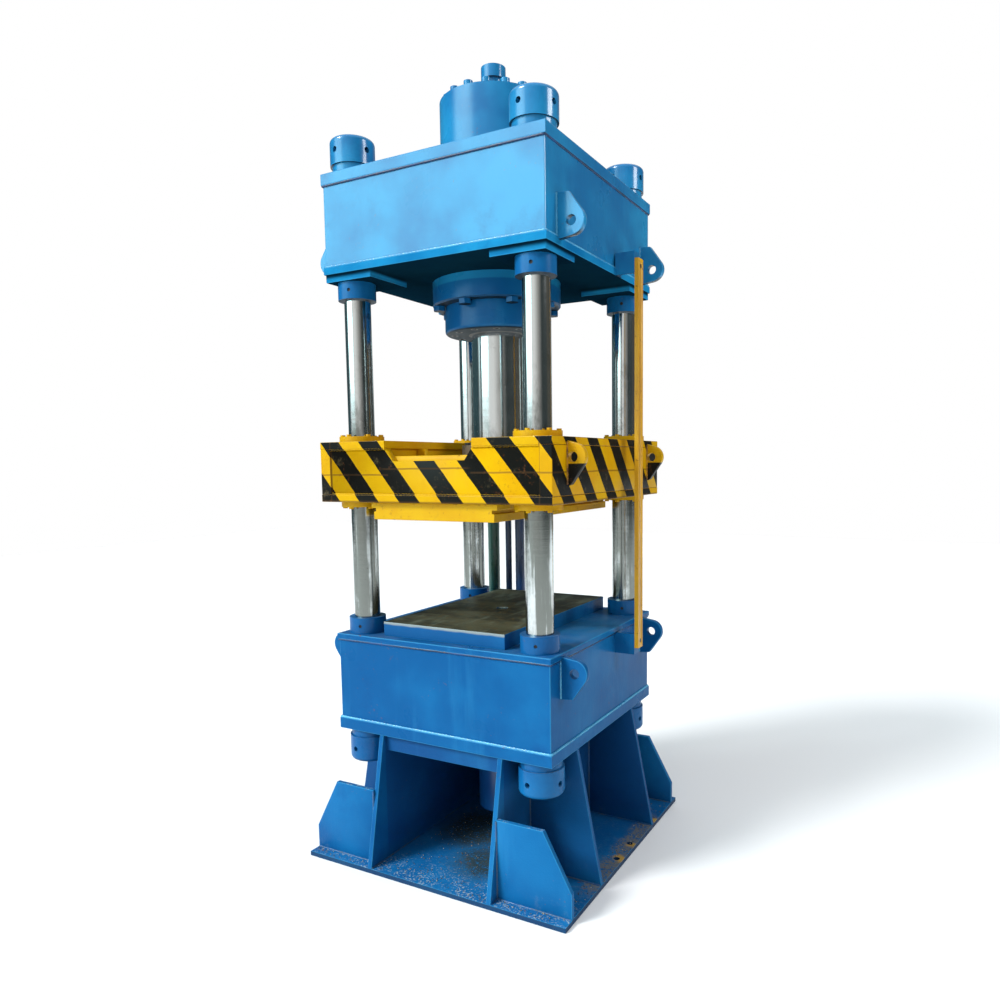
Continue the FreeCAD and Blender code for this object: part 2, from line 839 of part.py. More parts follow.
def ram_flange():
    """Clamp ring in two halves that holds the ram's foot down on the deck."""
    top = deck_top + ram_flange_thickness
    body = rod(ram_flange_diameter, deck_top, top)
    cutters = [rod(ram_neck_diameter, deck_top - over, top + over)]
    cutters.append(rod(ram_diameter, deck_top - over, deck_top + ram_foot))
    reach = ram_flange_diameter
    cutters.append(block(-bore_gap, bore_gap, -reach, reach, deck_top - over, top + over))
    cutters += rods(ram_flange_bolt_diameter, deck_top - over, top + over, ram_flange_bolt_places())
    return drilled(body, cutters)


def ram_flange_bolts():
    seat = deck_top + ram_flange_thickness
    reach = ram_flange_thickness + platen_plate
    return [hex_bolt(ram_flange_bolt_diameter, seat, reach, x, y) for x, y in ram_flange_bolt_places()]


# ---------------------------------------------------------------- platen
def platen_end_plate(side):
    """Front or back plate, stepped down between the two top plates."""
    half = platen_width / 2 - platen_side_plate
    low = platen_bottom + platen_plate
    high = platen_top - platen_plate
    notch = platen_top - slot_depth
    foot = slot_width / 2 - slot_shoulder
    outline = [
        (-half, low),
        (half, low),
        (half, high),
        (slot_width / 2, high),
        (foot, notch),
        (-foot, notch),
        (-slot_width / 2, high),
        (-half, high),
    ]
    y = side * (platen_depth / 2 - platen_front_inset)
    points = [FreeCAD.Vector(x, y, z) for x, z in outline]
    return prism(points, FreeCAD.Vector(0, -side * platen_plate, 0))


def platen_box():
    """Welded side, front and back plates with webs, deck, slot ribs and guide tubes."""
    low = platen_bottom + platen_plate
    high = platen_top - platen_plate
    half_x = platen_width / 2
    half_y = platen_depth / 2
    web_x = slot_width / 2 + web_setback
    inside_y = half_y - platen_front_inset - platen_plate
    parts = [platen_end_plate(-1), platen_end_plate(1)]
    for side in (-1, 1):
        outer = side * half_x
        parts.append(block(outer, outer - side * platen_side_plate, -half_y, half_y, low, high))
        web = side * web_x
        parts.append(block(web, web + side * inner_plate, -inside_y, inside_y, low, high))
        for end in (-1, 1):
            y0 = end * slot_rib_spacing / 2 - inner_plate / 2
            reach = web - side * slot_rib_reach
            parts.append(block(web, reach, y0, y0 + inner_plate, deck_bottom, high))
    parts.append(block(-web_x, web_x, -inside_y, inside_y, deck_bottom, deck_top))
    parts.append(block(-web_x, web_x, -inner_plate / 2, inner_plate / 2, low, deck_bottom))
    for x, y in column_places():
        parts.append(rod(bush_outer + 2 * guide_tube_wall, low, high, x, y))
    cutters = column_holes(bush_outer, low, high)
    bolt = ram_flange_bolt_diameter
    cutters += rods(bolt, deck_bottom - over, deck_top + over, ram_flange_bolt_places())
    return drilled(fused(parts), cutters)


def platen_top_plates():
    """Two top plates, one each side of the open slot."""
    plates = []
    z0 = platen_top - platen_plate
    cutters = column_holes(bush_outer, z0, platen_top)
    cutters += guide_bolt_holes(platen_top - short_thread * guide_bolt_diameter, platen_top + over)
    for side in (-1, 1):
        half = block(
            side * slot_width / 2,
            side * platen_width / 2,
            -platen_depth / 2,
            platen_depth / 2,
            z0,
            platen_top,
        )
        plates.append(drilled(half, cutters))
    return plates


def platen_bottom_plate():
    z1 = platen_bottom + platen_plate
    cutters = column_holes(bush_outer, platen_bottom, z1)
    cutters += guide_bolt_holes(platen_bottom - over, platen_bottom + short_thread * guide_bolt_diameter)
    cutters += rods(adapter_bolt_diameter, platen_bottom - over, z1 + over, adapter_bolt_places())
    return drilled(plate(platen_width, platen_depth, platen_bottom, z1), cutters)


def guide_bolt_places():
    circle = (guide_flange_diameter + bush_outer) / 2
    places = []
    for cx, cy in column_places():
        for x, y in circle_places(guide_bolt_count, circle, guide_bolt_turn):
            places.append((cx + x, cy + y))
    return places


def guide_bolt_holes(z0, z1):
    return rods(guide_bolt_diameter, z0, z1, guide_bolt_places())


def guide_bushes():
    """Bronze bushes in the platen's top and bottom that slide on the columns."""
    inner = column_diameter + 2 * running
    bushes = []
    for x, y in column_places():
        top = platen_top + guide_flange_thickness / 2
        low = platen_bottom - guide_flange_thickness / 2
        bushes.append(ring(bush_outer, inner, top - bush_length, top, x, y))
        bushes.append(ring(bush_outer, inner, low, low + bush_length, x, y))
    return bushes


def guide_flange(x, y, face, up):
    """Flange that keeps a bush in: its recess fits over the bush's end."""
    half = guide_flange_thickness / 2
    side = 1 if up else -1
    low = min(face, face + side * guide_flange_thickness)
    high = low + guide_flange_thickness
    body = rod(guide_flange_diameter, low, high, x, y)
    recess_low = min(face, face + side * half)
    cutters = [rod(bush_outer, recess_low, recess_low + half, x, y)]
    cutters.append(rod(column_hole, low - over, high + over, x, y))
    cutters += guide_bolt_holes(low - over, high + over)
    return drilled(body, cutters)


def guide_flanges():
    flanges = []
    for x, y in column_places():
        flanges.append(guide_flange(x, y, platen_top, True))
        flanges.append(guide_flange(x, y, platen_bottom, False))
    return flanges


def guide_bolts():
    bolts = []
    reach = guide_flange_thickness + short_thread * guide_bolt_diameter
    for x, y in guide_bolt_places():
        high = platen_top + guide_flange_thickness
        low = platen_bottom - guide_flange_thickness
        bolts.append(hex_bolt(guide_bolt_diameter, high, reach, x, y))
        bolts.append(hex_bolt(guide_bolt_diameter, low, reach, x, y, up=False))
    return bolts


def adapter_plate():
    """Tool plate with a wide upper flange, a clamping groove and a narrower foot."""
    flange_bottom = platen_bottom - adapter_flange_thickness
    groove_bottom = flange_bottom - adapter_groove_height
    groove_width = adapter_width - 2 * adapter_groove_depth
    foot_width = adapter_width - 2 * adapter_foot_inset
    parts = [plate(adapter_width, adapter_depth, flange_bottom, platen_bottom)]
    parts.append(plate(groove_width, adapter_depth, groove_bottom, flange_bottom))
    parts.append(plate(foot_width, adapter_depth, adapter_bottom, groove_bottom))
    cutters = []
    for x, y in adapter_bolt_places():
        cutters.append(rod(adapter_bolt_diameter, adapter_bottom - over, platen_bottom + over, x, y))
        head_top = adapter_bottom + adapter_bolt_sink
        cutters.append(rod(cap_head_width * adapter_bolt_diameter, adapter_bottom - over, head_top, x, y))
    return drilled(fused(parts), cutters)


def adapter_bolt_places():
    x = adapter_width / 2 - adapter_bolt_inset_x
    y = adapter_depth / 2 - adapter_bolt_inset_y
    return [(sx * x, sy * y) for sx in (-1, 1) for sy in (-1, 0, 1)]


def adapter_bolts():
    """Cap screws sunk into the tool plate's face."""
    seat = adapter_bottom + adapter_bolt_sink
    reach = platen_bottom + platen_plate - seat
    size = adapter_bolt_diameter
    return [socket_screw(size, seat, reach, x, y, up=False) for x, y in adapter_bolt_places()]


# ---------------------------------------------------------------- ejector
def ejector_barrel():
    """Small cylinder hung under the bed by its flange."""
    z0 = bed_bottom - ejector_length
    parts = [rod(ejector_diameter, z0, bed_bottom)]
    flange_bottom = bed_bottom - ejector_flange_thickness
    parts.append(rod(ejector_flange_diameter, flange_bottom, bed_bottom))
    cutters = [rod(ejector_bore, z0 + ejector_base_thickness, bed_bottom - ejector_head_thickness)]
    rod_hole = ejector_rod_diameter + 2 * running
    cutters.append(rod(rod_hole, bed_bottom - ejector_head_thickness - over, bed_bottom + over))
    cutters += rods(ejector_bolt_diameter, flange_bottom - over, bed_bottom + over, ejector_bolt_places())
    return drilled(fused(parts), cutters)


def ejector_bolts():
    seat = bed_bottom - ejector_flange_thickness
    reach = ejector_flange_thickness + ejector_bolt_reach
    size = ejector_bolt_diameter
    return [hex_bolt(size, seat, reach, x, y, up=False) for x, y in ejector_bolt_places()]


def ejector_rod():
    """Piston and rod, drawn fully down with the rod's end just below the work face."""
    z0 = bed_bottom - ejector_length + ejector_base_thickness + seal_gap
    piston = rod(ejector_bore - 2 * running, z0, z0 + ejector_piston_length)
    stem = rod(ejector_rod_diameter, z0 + ejector_piston_length, bolster_top - ejector_rod_recess)
    return fused([piston, stem])


# ---------------------------------------------------------------- switch rail
def bracket_levels():
    """Bottom of each bracket and the wall face it is fixed to."""
    lower = bed_top - bed_top_plate_thickness - bracket_height
    return ((lower, frame_width / 2 - flange_lip), (crown_bottom, frame_width / 2))


def rail_span():
    lower = bracket_levels()[0][0] + bracket_height - rail_overlap
    upper = bracket_levels()[1][0] + rail_overlap
    return lower, upper


def switch_rail():
    """Upright channel, open towards the press, that carries the limit switches."""
    z0, z1 = rail_span()
    inner = rail_face - rail_height
    y0 = rail_start
    y1 = rail_start + rail_width
    body = block(inner, rail_face, y0, y1, z0, z1)
    web = rail_face - rail_plate
    seat = rail_face - rail_screw_head
    cutters = [block(inner - over, web, y0 + rail_plate, y1 - rail_plate, z0 - over, z1 + over)]
    for z in rail_screw_levels():
        cutters.append(lying_rod(rail_screw_diameter, inner, rail_face + over, z))
        cutters.append(lying_rod(rail_screw_head_diameter, seat, rail_face + over, z))
    return drilled(body, cutters)


def rail_screw_levels():
    z0, z1 = rail_span()
    inset = rail_overlap / 2
    return (z0 + inset, z1 - inset)


def lying_rod(diameter, x0, x1, z):
    """Round bar along X on the rail's centre line."""
    start = FreeCAD.Vector(x0, rail_start + rail_width / 2, z)
    return Part.makeCylinder(diameter / 2, x1 - x0, start, FreeCAD.Vector(1, 0, 0))


def rail_screws():
    screws = []
    seat = rail_face - rail_screw_head
    end = rail_face - rail_height - bracket_plate
    for z in rail_screw_levels():
        head = lying_rod(rail_screw_head_diameter, seat, rail_face, z)
        shank = lying_rod(rail_screw_diameter, end, seat, z)
        screws.append(head.fuse(shank))
    return screws


def rail_brackets():
    """Bent plates that stand the rail off the bed and the crown."""
    brackets = []
    nose = rail_face - rail_height
    tail = nose - bracket_plate
    holes = [lying_rod(rail_screw_diameter, tail - over, nose + over, z) for z in rail_screw_levels()]
    y0 = rail_start
    y1 = rail_start + rail_width
    for z0, wall in bracket_levels():
        z1 = z0 + bracket_height
        foot = block(wall, wall + bracket_plate, y0, y1, z0, z1)
        web = block(wall, nose, y0, y0 + bracket_plate, z0, z1)
        end = block(tail, nose, y0, y1, z0, z1)
        body = fused([foot, web, end])
        brackets.append(drilled(body, holes))
    return brackets


# ---------------------------------------------------------------- pipes up the back
def pipe_core(diameter, x, z0, y_end):
    """Upright bar, ball corner and short level run into the crown's back wall."""
    z_turn = crown_bottom + pipe_rise_into_crown
    y = pipe_centre_y
    corner = FreeCAD.Vector(x, y, z_turn)
    level = Part.makeCylinder(diameter / 2, y - y_end, corner, FreeCAD.Vector(0, -1, 0))
    return fused([rod(diameter, z0, z_turn, x, y), Part.makeSphere(diameter / 2, corner), level])


def back_pipe(diameter, x):
    """Rigid steel pipe with a collar at the crown and a hose socket at its open lower end."""
    wall_y = frame_depth / 2 - flange_lip
    y = pipe_centre_y
    collar = diameter + 2 * pipe_collar_width
    socket_top = pipe_start_height + pipe_socket_depth
    foot = rod(collar, pipe_start_height, socket_top + pipe_collar_width, x, y)
    turn = FreeCAD.Vector(x, wall_y, crown_bottom + pipe_rise_into_crown)
    boss = Part.makeCylinder(collar / 2, pipe_collar_height, turn, FreeCAD.Vector(0, 1, 0))
    outside = fused([pipe_core(diameter, x, pipe_start_height, wall_y), foot, boss])
    bore = diameter - 2 * pipe_wall
    inside = pipe_core(bore, x, pipe_start_height - over, wall_y - over)
    socket = rod(bore + 2 * pipe_socket_step, pipe_start_height - over, socket_top, x, y)
    return outside.cut(inside).cut(socket)


def back_pipes():
    return [back_pipe(diameter, x) for diameter, x in zip(pipe_diameters, pipe_places)]


def pipe_clamps():
    """Blocks on the bed's back wall that the pipes pass through."""
    clamps = []
    wall_y = frame_depth / 2 - flange_lip
    y = pipe_centre_y
    for diameter, x in zip(pipe_diameters, pipe_places):
        half = diameter / 2 + clamp_margin
        body = block(x - half, x + half, wall_y, y + diameter / 2 + clamp_cap, clamp_level, clamp_top)
        clamps.append(body.cut(rod(diameter, clamp_level - over, clamp_top + over, x, y)))
    return clamps


# ---------------------------------------------------------------- everything
def main():
    os.makedirs("parts", exist_ok=True)
    save("base_plate", base_plate())
    save("pedestal_rib_left", long_rib(-1))
    save("pedestal_rib_right", long_rib(1))
    save("pedestal_cross_ribs", cross_ribs())
    save("pedestal_back_web", back_web())
    save("pedestal_gussets", gussets())
    save("pedestal_headers", headers())
    save("bed_box", bed_box())
    save("bed_bottom_plate", bed_bottom_plate())
    save("bed_top_plate", bed_top_plate())
    save("bed_lugs", bed_lugs())
    save("bolster", bolster())
    save("bolster_bolts", bolster_bolts())
    save("crown_box", crown_box())
    save("crown_bottom_plate", crown_bottom_plate())
    save("crown_top_plate", crown_top_plate())
    save("crown_lugs", crown_lugs())
    for x, y in column_places():
        side = "right" if x > 0 else "left"
        end = "back" if y > 0 else "front"
        save("column_" + end + "_" + side, column(x, y))
    save("column_nuts", column_nuts())
    save("column_washers", column_washers())
    save("column_collars", column_collars())
    save("collar_screws", collar_screws())
    save("cylinder_barrel", cylinder_barrel())
    save("flange_bolts", flange_bolts())
    save("gland", gland())
    save("gland_screws", gland_screws())
    save("rod_bush", rod_bush())
    save("rod_seal", rod_seal())
    save("rod_wiper", rod_wiper())
    save("cylinder_cover", cylinder_cover())
    save("cover_seal", cover_seal())
    save("cover_bolts", cover_bolts())
    save("port_fitting", port_fitting())
    save("ram", ram())
    save("piston_seals", piston_seals())
    save("ram_flange", ram_flange())
    save("ram_flange_bolts", ram_flange_bolts())
    save("platen_box", platen_box())
    save("platen_top_plates", platen_top_plates())
    save("platen_bottom_plate", platen_bottom_plate())
    save("platen_lugs", lug_set(platen_width / 2, platen_top - platen_lug_drop, -1))
    save("guide_bushes", guide_bushes())
    save("guide_flanges", guide_flanges())
    save("guide_bolts", guide_bolts())
    save("adapter_plate", adapter_plate())
    save("adapter_bolts", adapter_bolts())
    save("ejector_barrel", ejector_barrel())
    save("ejector_bolts", ejector_bolts())
    save("ejector_rod", ejector_rod())
    save("switch_rail", switch_rail())
    save("rail_brackets", rail_brackets())
    save("rail_screws", rail_screws())
    for name, pipe in zip(("suction_pipe", "pilot_pipe", "return_pipe"), back_pipes()):
        save(name, pipe)
    save("pipe_clamps", pipe_clamps())


main()
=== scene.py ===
import json
import math

import bmesh
import bpy
from bpy.props import FloatProperty, FloatVectorProperty, IntProperty, PointerProperty
from mathutils import Matrix, Vector


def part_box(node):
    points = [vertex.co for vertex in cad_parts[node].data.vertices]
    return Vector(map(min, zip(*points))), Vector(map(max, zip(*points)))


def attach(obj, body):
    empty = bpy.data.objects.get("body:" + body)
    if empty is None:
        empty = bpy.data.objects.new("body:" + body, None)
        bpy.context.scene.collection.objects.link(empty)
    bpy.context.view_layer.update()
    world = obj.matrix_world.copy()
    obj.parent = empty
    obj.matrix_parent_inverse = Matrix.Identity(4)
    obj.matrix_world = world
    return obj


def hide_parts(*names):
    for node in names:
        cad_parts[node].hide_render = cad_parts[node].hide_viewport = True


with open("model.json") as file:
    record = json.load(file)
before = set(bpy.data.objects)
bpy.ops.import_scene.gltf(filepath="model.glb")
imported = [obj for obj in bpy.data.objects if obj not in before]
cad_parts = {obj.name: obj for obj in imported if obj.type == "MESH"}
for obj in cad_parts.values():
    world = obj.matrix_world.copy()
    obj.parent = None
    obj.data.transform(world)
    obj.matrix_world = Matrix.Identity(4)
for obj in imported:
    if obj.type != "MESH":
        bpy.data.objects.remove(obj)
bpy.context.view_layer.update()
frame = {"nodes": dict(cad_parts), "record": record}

bl_info = {
    "name": "Four-column hydraulic press",
    "version": (1, 0, 0),
    "blender": (4, 5, 0),
    "location": "View3D > Sidebar > Press",
    "description": "Enamels, weld beads, grit and studio stage for a four-column hydraulic press",
    "category": "Object",
}


# ---------------------------------------------------------------- sizes and colours
def colour_property(name, description, rgb):
    return FloatVectorProperty(
        name=name, description=description, default=rgb, size=3, subtype="COLOR", min=0.0, max=1.0
    )


def length_property(name, description, metres):
    return FloatProperty(
        name=name, description=description, default=metres, min=0.0, unit="LENGTH", precision=4
    )


class PressSizes(bpy.types.PropertyGroup):
    """Sizes of edges, weld beads, stripes and grit."""

    thin_easing: length_property("Thin easing", "Rounding of the base plate's edges", 0.002)
    rail_easing: length_property("Rail easing", "Rounding of the switch rail's edges", 0.0012)
    plate_easing: length_property("Plate easing", "Rounding of the thick plates' edges", 0.0035)
    rib_easing: length_property("Rib easing", "Rounding of ribs, lugs and thin plates", 0.0025)
    bead_radius: length_property("Bead radius", "Radius of the weld beads", 0.0043)
    bead_pitch: length_property("Bead pitch", "Distance between two weld ripples", 0.016)
    bead_step: length_property("Bead step", "Distance between points along a bead", 0.005)
    stripe_pitch: length_property("Stripe pitch", "Width of one yellow and one black stripe", 0.1974)
    grit_size: length_property("Grit size", "Mean radius of a swarf grain", 0.0032)
    stripe_lean: FloatProperty(
        name="Stripe lean", description="Sideways run of a stripe for each unit of height", default=0.83
    )
    stripe_share: FloatProperty(
        name="Black share", description="Share of the pitch that is black", default=0.49, min=0.0, max=1.0
    )
    bead_ripple: FloatProperty(
        name="Bead ripple", description="How much a bead swells at each ripple", default=0.16, min=0.0
    )
    grit_density: FloatProperty(
        name="Grit density", description="Grains for each square metre of base plate", default=1500.0, min=0.0
    )
    grit_seed: IntProperty(name="Grit seed", description="Seed of the grains' places", default=11)


class PressColours(bpy.types.PropertyGroup):
    """Base colours of the finishes."""

    blue_deep: colour_property("Deep blue", "Enamel where it is thick", (0.003, 0.078, 0.235))
    blue_light: colour_property("Light blue", "Enamel where it is thin", (0.006, 0.120, 0.310))
    # Bright blue is partly wear and partly painted light: it lightens eased edges and runs, and it is the
    # base of the lower weld beads' painted highlight.
    blue_bright: colour_property("Bright blue", "Worn edges and runs", (0.030, 0.235, 0.46))
    blue_shade: colour_property("Shaded blue", "Grimy enamel", (0.004, 0.050, 0.185))
    # Painted light: the crown's two blues are paler than the others, standing in for the brighter light on
    # the crown.
    crown_deep: colour_property("Crown deep blue", "Crown enamel where it is thick", (0.006, 0.130, 0.320))
    crown_light: colour_property("Crown light blue", "Crown enamel where it is thin", (0.014, 0.230, 0.460))
    # Painted shade: faces that look down take this near-black colour in place of their shade.
    under: colour_property("Underside", "Bare primer and soot under plates", (0.0015, 0.009, 0.017))
    # Navy is also laid on the upper weld beads as painted shade.
    navy: colour_property("Navy", "Old enamel in sheltered places", (0.003, 0.018, 0.065))
    yellow: colour_property("Yellow", "Warning yellow", (0.57, 0.325, 0.002))
    yellow_deep: colour_property("Deep yellow", "Thick or grimy yellow", (0.50, 0.225, 0.002))
    black: colour_property("Black", "Warning black", (0.006, 0.006, 0.005))
    dust: colour_property("Dust", "Dry workshop dust", (0.30, 0.33, 0.36))
    rust: colour_property("Rust", "Rust in seams and chips", (0.16, 0.055, 0.015))
    swarf: colour_property("Swarf", "Fine metal chips", (0.025, 0.035, 0.028))
    chrome: colour_property("Chrome", "Hard chrome", (0.74, 0.77, 0.77))
    # The oil film colour also darkens the lower chrome as a painted reflection.
    oil_film: colour_property("Oil film", "Brown film on chrome", (0.13, 0.14, 0.12))
    worn_plate: colour_property("Worn plate", "Bare plate with a rust film", (0.052, 0.054, 0.033))
    worn_plate_dark: colour_property("Dark worn plate", "Oily streaks on bare plate", (0.017, 0.020, 0.015))
    pipe_green: colour_property("Pipe green", "Dark green suction pipe", (0.012, 0.07, 0.05))


# ---------------------------------------------------------------- nodes
class Wire:
    """A socket in a node tree that can be used in arithmetic."""

    def __init__(self, nodes, socket):
        self.nodes = nodes
        self.socket = socket

    def other(self, name):
        """Another output of the same node."""
        return Wire(self.nodes, self.socket.node.outputs[name])

    def maths(self, operation, *values):
        return self.nodes.maths(operation, *values)

    def __add__(self, other):
        return self.maths("ADD", self, other)

    def __radd__(self, other):
        return self.maths("ADD", other, self)

    def __sub__(self, other):
        return self.maths("SUBTRACT", self, other)

    def __rsub__(self, other):
        return self.maths("SUBTRACT", other, self)

    def __mul__(self, other):
        return self.maths("MULTIPLY", self, other)

    def __rmul__(self, other):
        return self.maths("MULTIPLY", other, self)

    def __truediv__(self, other):
        return self.maths("DIVIDE", self, other)

    def __neg__(self):
        return self.maths("MULTIPLY", self, -1.0)

    def __abs__(self):
        return self.maths("ABSOLUTE", self)

    def __lt__(self, other):
        return self.maths("LESS_THAN", self, other)

    def __gt__(self, other):
        return self.maths("GREATER_THAN", self, other)


class Nodes:
    """A node tree that is filled one node at a time."""

    def __init__(self, tree):
        self.tree = tree

    def node(self, kind, settings=None, values=None, out=0):
        """Adds a node: its settings first, then its sockets' values or links."""
        made = self.tree.nodes.new(kind)
        for name, value in (settings or {}).items():
            if name == "stops":
                self.fill_ramp(made.color_ramp, value)
            else:
                setattr(made, name, value)
        for key, value in (values or {}).items():
            if isinstance(value, Wire):
                self.tree.links.new(value.socket, made.inputs[key])
            else:
                made.inputs[key].default_value = value
        return Wire(self, made.outputs[out]) if made.outputs else made

    def fill_ramp(self, ramp, stops):
        while len(ramp.elements) < len(stops):
            ramp.elements.new(1.0)
        for element, (place, colour) in zip(ramp.elements, stops):
            element.position = place
            element.color = (*colour, 1.0)

    def maths(self, operation, *values):
        return self.node("ShaderNodeMath", {"operation": operation}, dict(enumerate(values)))

    def band(self, value, low, high):
        """0 below low, 1 above high, with a soft step between them."""
        sockets = {"Value": value, "From Min": low, "From Max": high}
        return self.node("ShaderNodeMapRange", {"interpolation_type": "SMOOTHSTEP"}, sockets)

    def split(self, vector):
        x = self.node("ShaderNodeSeparateXYZ", values={0: vector}, out="X")
        return x, x.other("Y"), x.other("Z")


class Finish(Nodes):
    """A procedural material on Object coordinates."""

    def __init__(self, name):
        self.material = bpy.data.materials.new(name)
        self.material.use_nodes = True
        super().__init__(self.material.node_tree)
        self.tree.nodes.clear()
        self.place = self.node("ShaderNodeTexCoord", out="Object")
        self.x, self.y, self.z = self.split(self.place)
        self.nx, self.ny, self.nz = self.split(self.place.other("Normal"))

    def noise(self, scale, detail=4.0, roughness=0.5, stretch=None):
        """Cloudy noise; stretch is its scale along x, y and z, below 1 where it is drawn out."""
        vector = self.place
        if stretch:
            vector = self.node("ShaderNodeMapping", values={"Vector": vector, "Scale": stretch})
        sockets = {"Vector": vector, "Scale": scale, "Detail": detail, "Roughness": roughness}
        return self.node("ShaderNodeTexNoise", values=sockets)

    def mix(self, factor, first, second):
        """Colour between first, at factor 0, and second, at factor 1."""
        first, second = [c if isinstance(c, Wire) else (*c, 1.0) for c in (first, second)]
        return self.node("ShaderNodeMix", {"data_type": "RGBA"}, {0: factor, 6: first, 7: second}, out=2)

    def worn_edge(self):
        """1 on the eased edges of plates, 0 elsewhere."""
        return self.node("ShaderNodeAttribute", {"attribute_name": "edge"}, out="Fac")

    def looks_up(self):
        """1 on level faces that look up, 0 on walls."""
        return self.band(self.nz, 0.6, 0.95)

    def bump(self, height, depth, under=None):
        sockets = {"Height": height, "Distance": depth, "Strength": 1.0}
        if under:
            sockets["Normal"] = under
        return self.node("ShaderNodeBump", values=sockets)

    def surface(self, colour, roughness, normal, **fixed):
        """Principled surface; fixed holds its other sockets by name with _ for a space."""
        sockets = {"Base Color": colour, "Roughness": roughness, "Normal": normal}
        for name, value in fixed.items():
            sockets[name.replace("_", " ")] = value
        shader = self.node("ShaderNodeBsdfPrincipled", values=sockets)
        self.node("ShaderNodeOutputMaterial", values={"Surface": shader})
        return self.material


# ---------------------------------------------------------------- finishes
DRY_DIRT = (0.15, 0.14, 0.11)
PALE_SPECKS = (0.34, 0.38, 0.38)
YELLOW_PRIMER = (0.44, 0.27, 0.05)
SPLASHES = (0.16, 0.20, 0.24)
DAMP_EDGE = (0.012, 0.02, 0.045)
# Painted shade colour of the pedestal's inner walls.
BAY_SHADE = (0.010, 0.025, 0.115)
SCUFFED_BLACK = (0.11, 0.085, 0.045)
SEAM_BROWN = (0.11, 0.05, 0.014)
FOOT_BROWN = (0.07, 0.035, 0.012)
YELLOW_SMEAR = (0.50, 0.27, 0.02)
YELLOW_GRIME = (0.22, 0.12, 0.02)
RAIL_YELLOW = (0.60, 0.31, 0.012)
RAIL_HANDLED = (0.42, 0.19, 0.016)
CHROME_SPECKS = (0.06, 0.045, 0.03)
RUST_FILM = (0.085, 0.058, 0.022)
PALE_FILM = (0.13, 0.16, 0.13)
BARE_RIM = (0.30, 0.33, 0.30)
# Painted highlight colour of the lower weld beads.
BEAD_HIGHLIGHT = (0.07, 0.37, 0.60)
DUSTY_BEAD = (0.05, 0.09, 0.13)
RUSTY_BEAD = (0.14, 0.06, 0.015)
PIPE_DIRT = (0.06, 0.06, 0.055)
PIPE_TEAL = (0.02, 0.12, 0.11)

# Half widths of the platen: where its side walls and its inward faces begin.
PLATEN_SIDE = 0.5275
PLATEN_CAVITY = 0.515
# Sideways start of the stripes on the side walls and on the front and back walls.
SIDE_STRIPE_START = 0.440
FRONT_STRIPE_START = 0.526
# Half width of the platen's slot, and where the weld lines cross its front and back.
SLOT_EDGE = 0.19
MIDDLE_LINE, LEFT_LINE, RIGHT_LINE = 1.622, 1.599, 1.605
CORNER_LINE = 0.477
# Height from which the bolster's front edge is worn bare.
BARE_RIM_FROM = 0.990
# Places on the base plate as x, y, full within and gone beyond this distance.
OILY_PLACES = [(-0.06, -0.10, 0.10, 0.25), (0.10, -0.34, 0.05, 0.20)]
FLAKED_PLACES = [(0.585, 0.065, 0.008, 0.034), (0.592, 0.320, 0.006, 0.030), (0.590, -0.070, 0.010, 0.036)]


def sizes():
    return bpy.context.scene.press_sizes


def colours():
    return bpy.context.scene.press_colours


def once(make):
    """Makes a finish the first time it is asked for and then keeps it."""

    def finish():
        name = "press_" + make.__name__
        return bpy.data.materials.get(name) or make(name)

    return finish


def enamel_relief(paint, wave=0.0045, peel=0.00022):
    """Waviness of rolled plate under brushed enamel."""
    wavy = paint.bump(paint.noise(2.7, 2.0), wave)
    brushed = paint.bump(paint.noise(26.0, 3.0, 0.6, stretch=(1.0, 1.0, 0.35)), 0.0007, wavy)
    return paint.bump(paint.noise(190.0, 2.0), peel, brushed)


def blue_coat(paint, deep, light):
    """Cloudy blue enamel with grime and chips, lighter runs that are partly drips and partly painted sheen,
    and lighter eased edges that are partly wear and partly a painted highlight.
    """
    hue = colours()
    cloud = paint.band(paint.noise(1.35, 3.0, 0.55) + 0.35 * paint.noise(6.5, 3.0), 0.55, 0.82)
    colour = paint.mix(cloud, deep, light)
    # Painted sheen: lighter vertical runs, partly drips of enamel and partly a painted sheen.
    runs = paint.band(paint.noise(11.0, 4.0, 0.6, stretch=(1.0, 1.0, 0.10)), 0.55, 0.78)
    colour = paint.mix(0.22 * runs, colour, hue.blue_bright)
    grime = paint.band(paint.noise(3.4, 6.0, 0.68), 0.54, 0.74)
    colour = paint.mix(0.42 * grime, colour, hue.blue_shade)
    # Painted highlight: eased edges turn lighter, partly as rubbed wear and partly as a painted highlight
    # where edges catch the light.
    edge = paint.worn_edge()
    colour = paint.mix(0.55 * edge, colour, hue.blue_bright)
    flakes = paint.band(paint.noise(62.0, 3.0, 0.6), 0.655, 0.69)
    patches = paint.band(paint.noise(4.2, 2.0), 0.50, 0.60)
    chips = flakes * patches * (0.22 + 0.6 * edge)
    colour = paint.mix(chips, colour, hue.rust)
    return colour, grime, chips


def dusty(paint, colour, amount):
    """Settles dust on faces that look up."""
    settled = paint.looks_up() * paint.band(paint.noise(8.0, 6.0, 0.72), 0.36, 0.68) * amount
    return paint.mix(settled, colour, colours().dust), settled


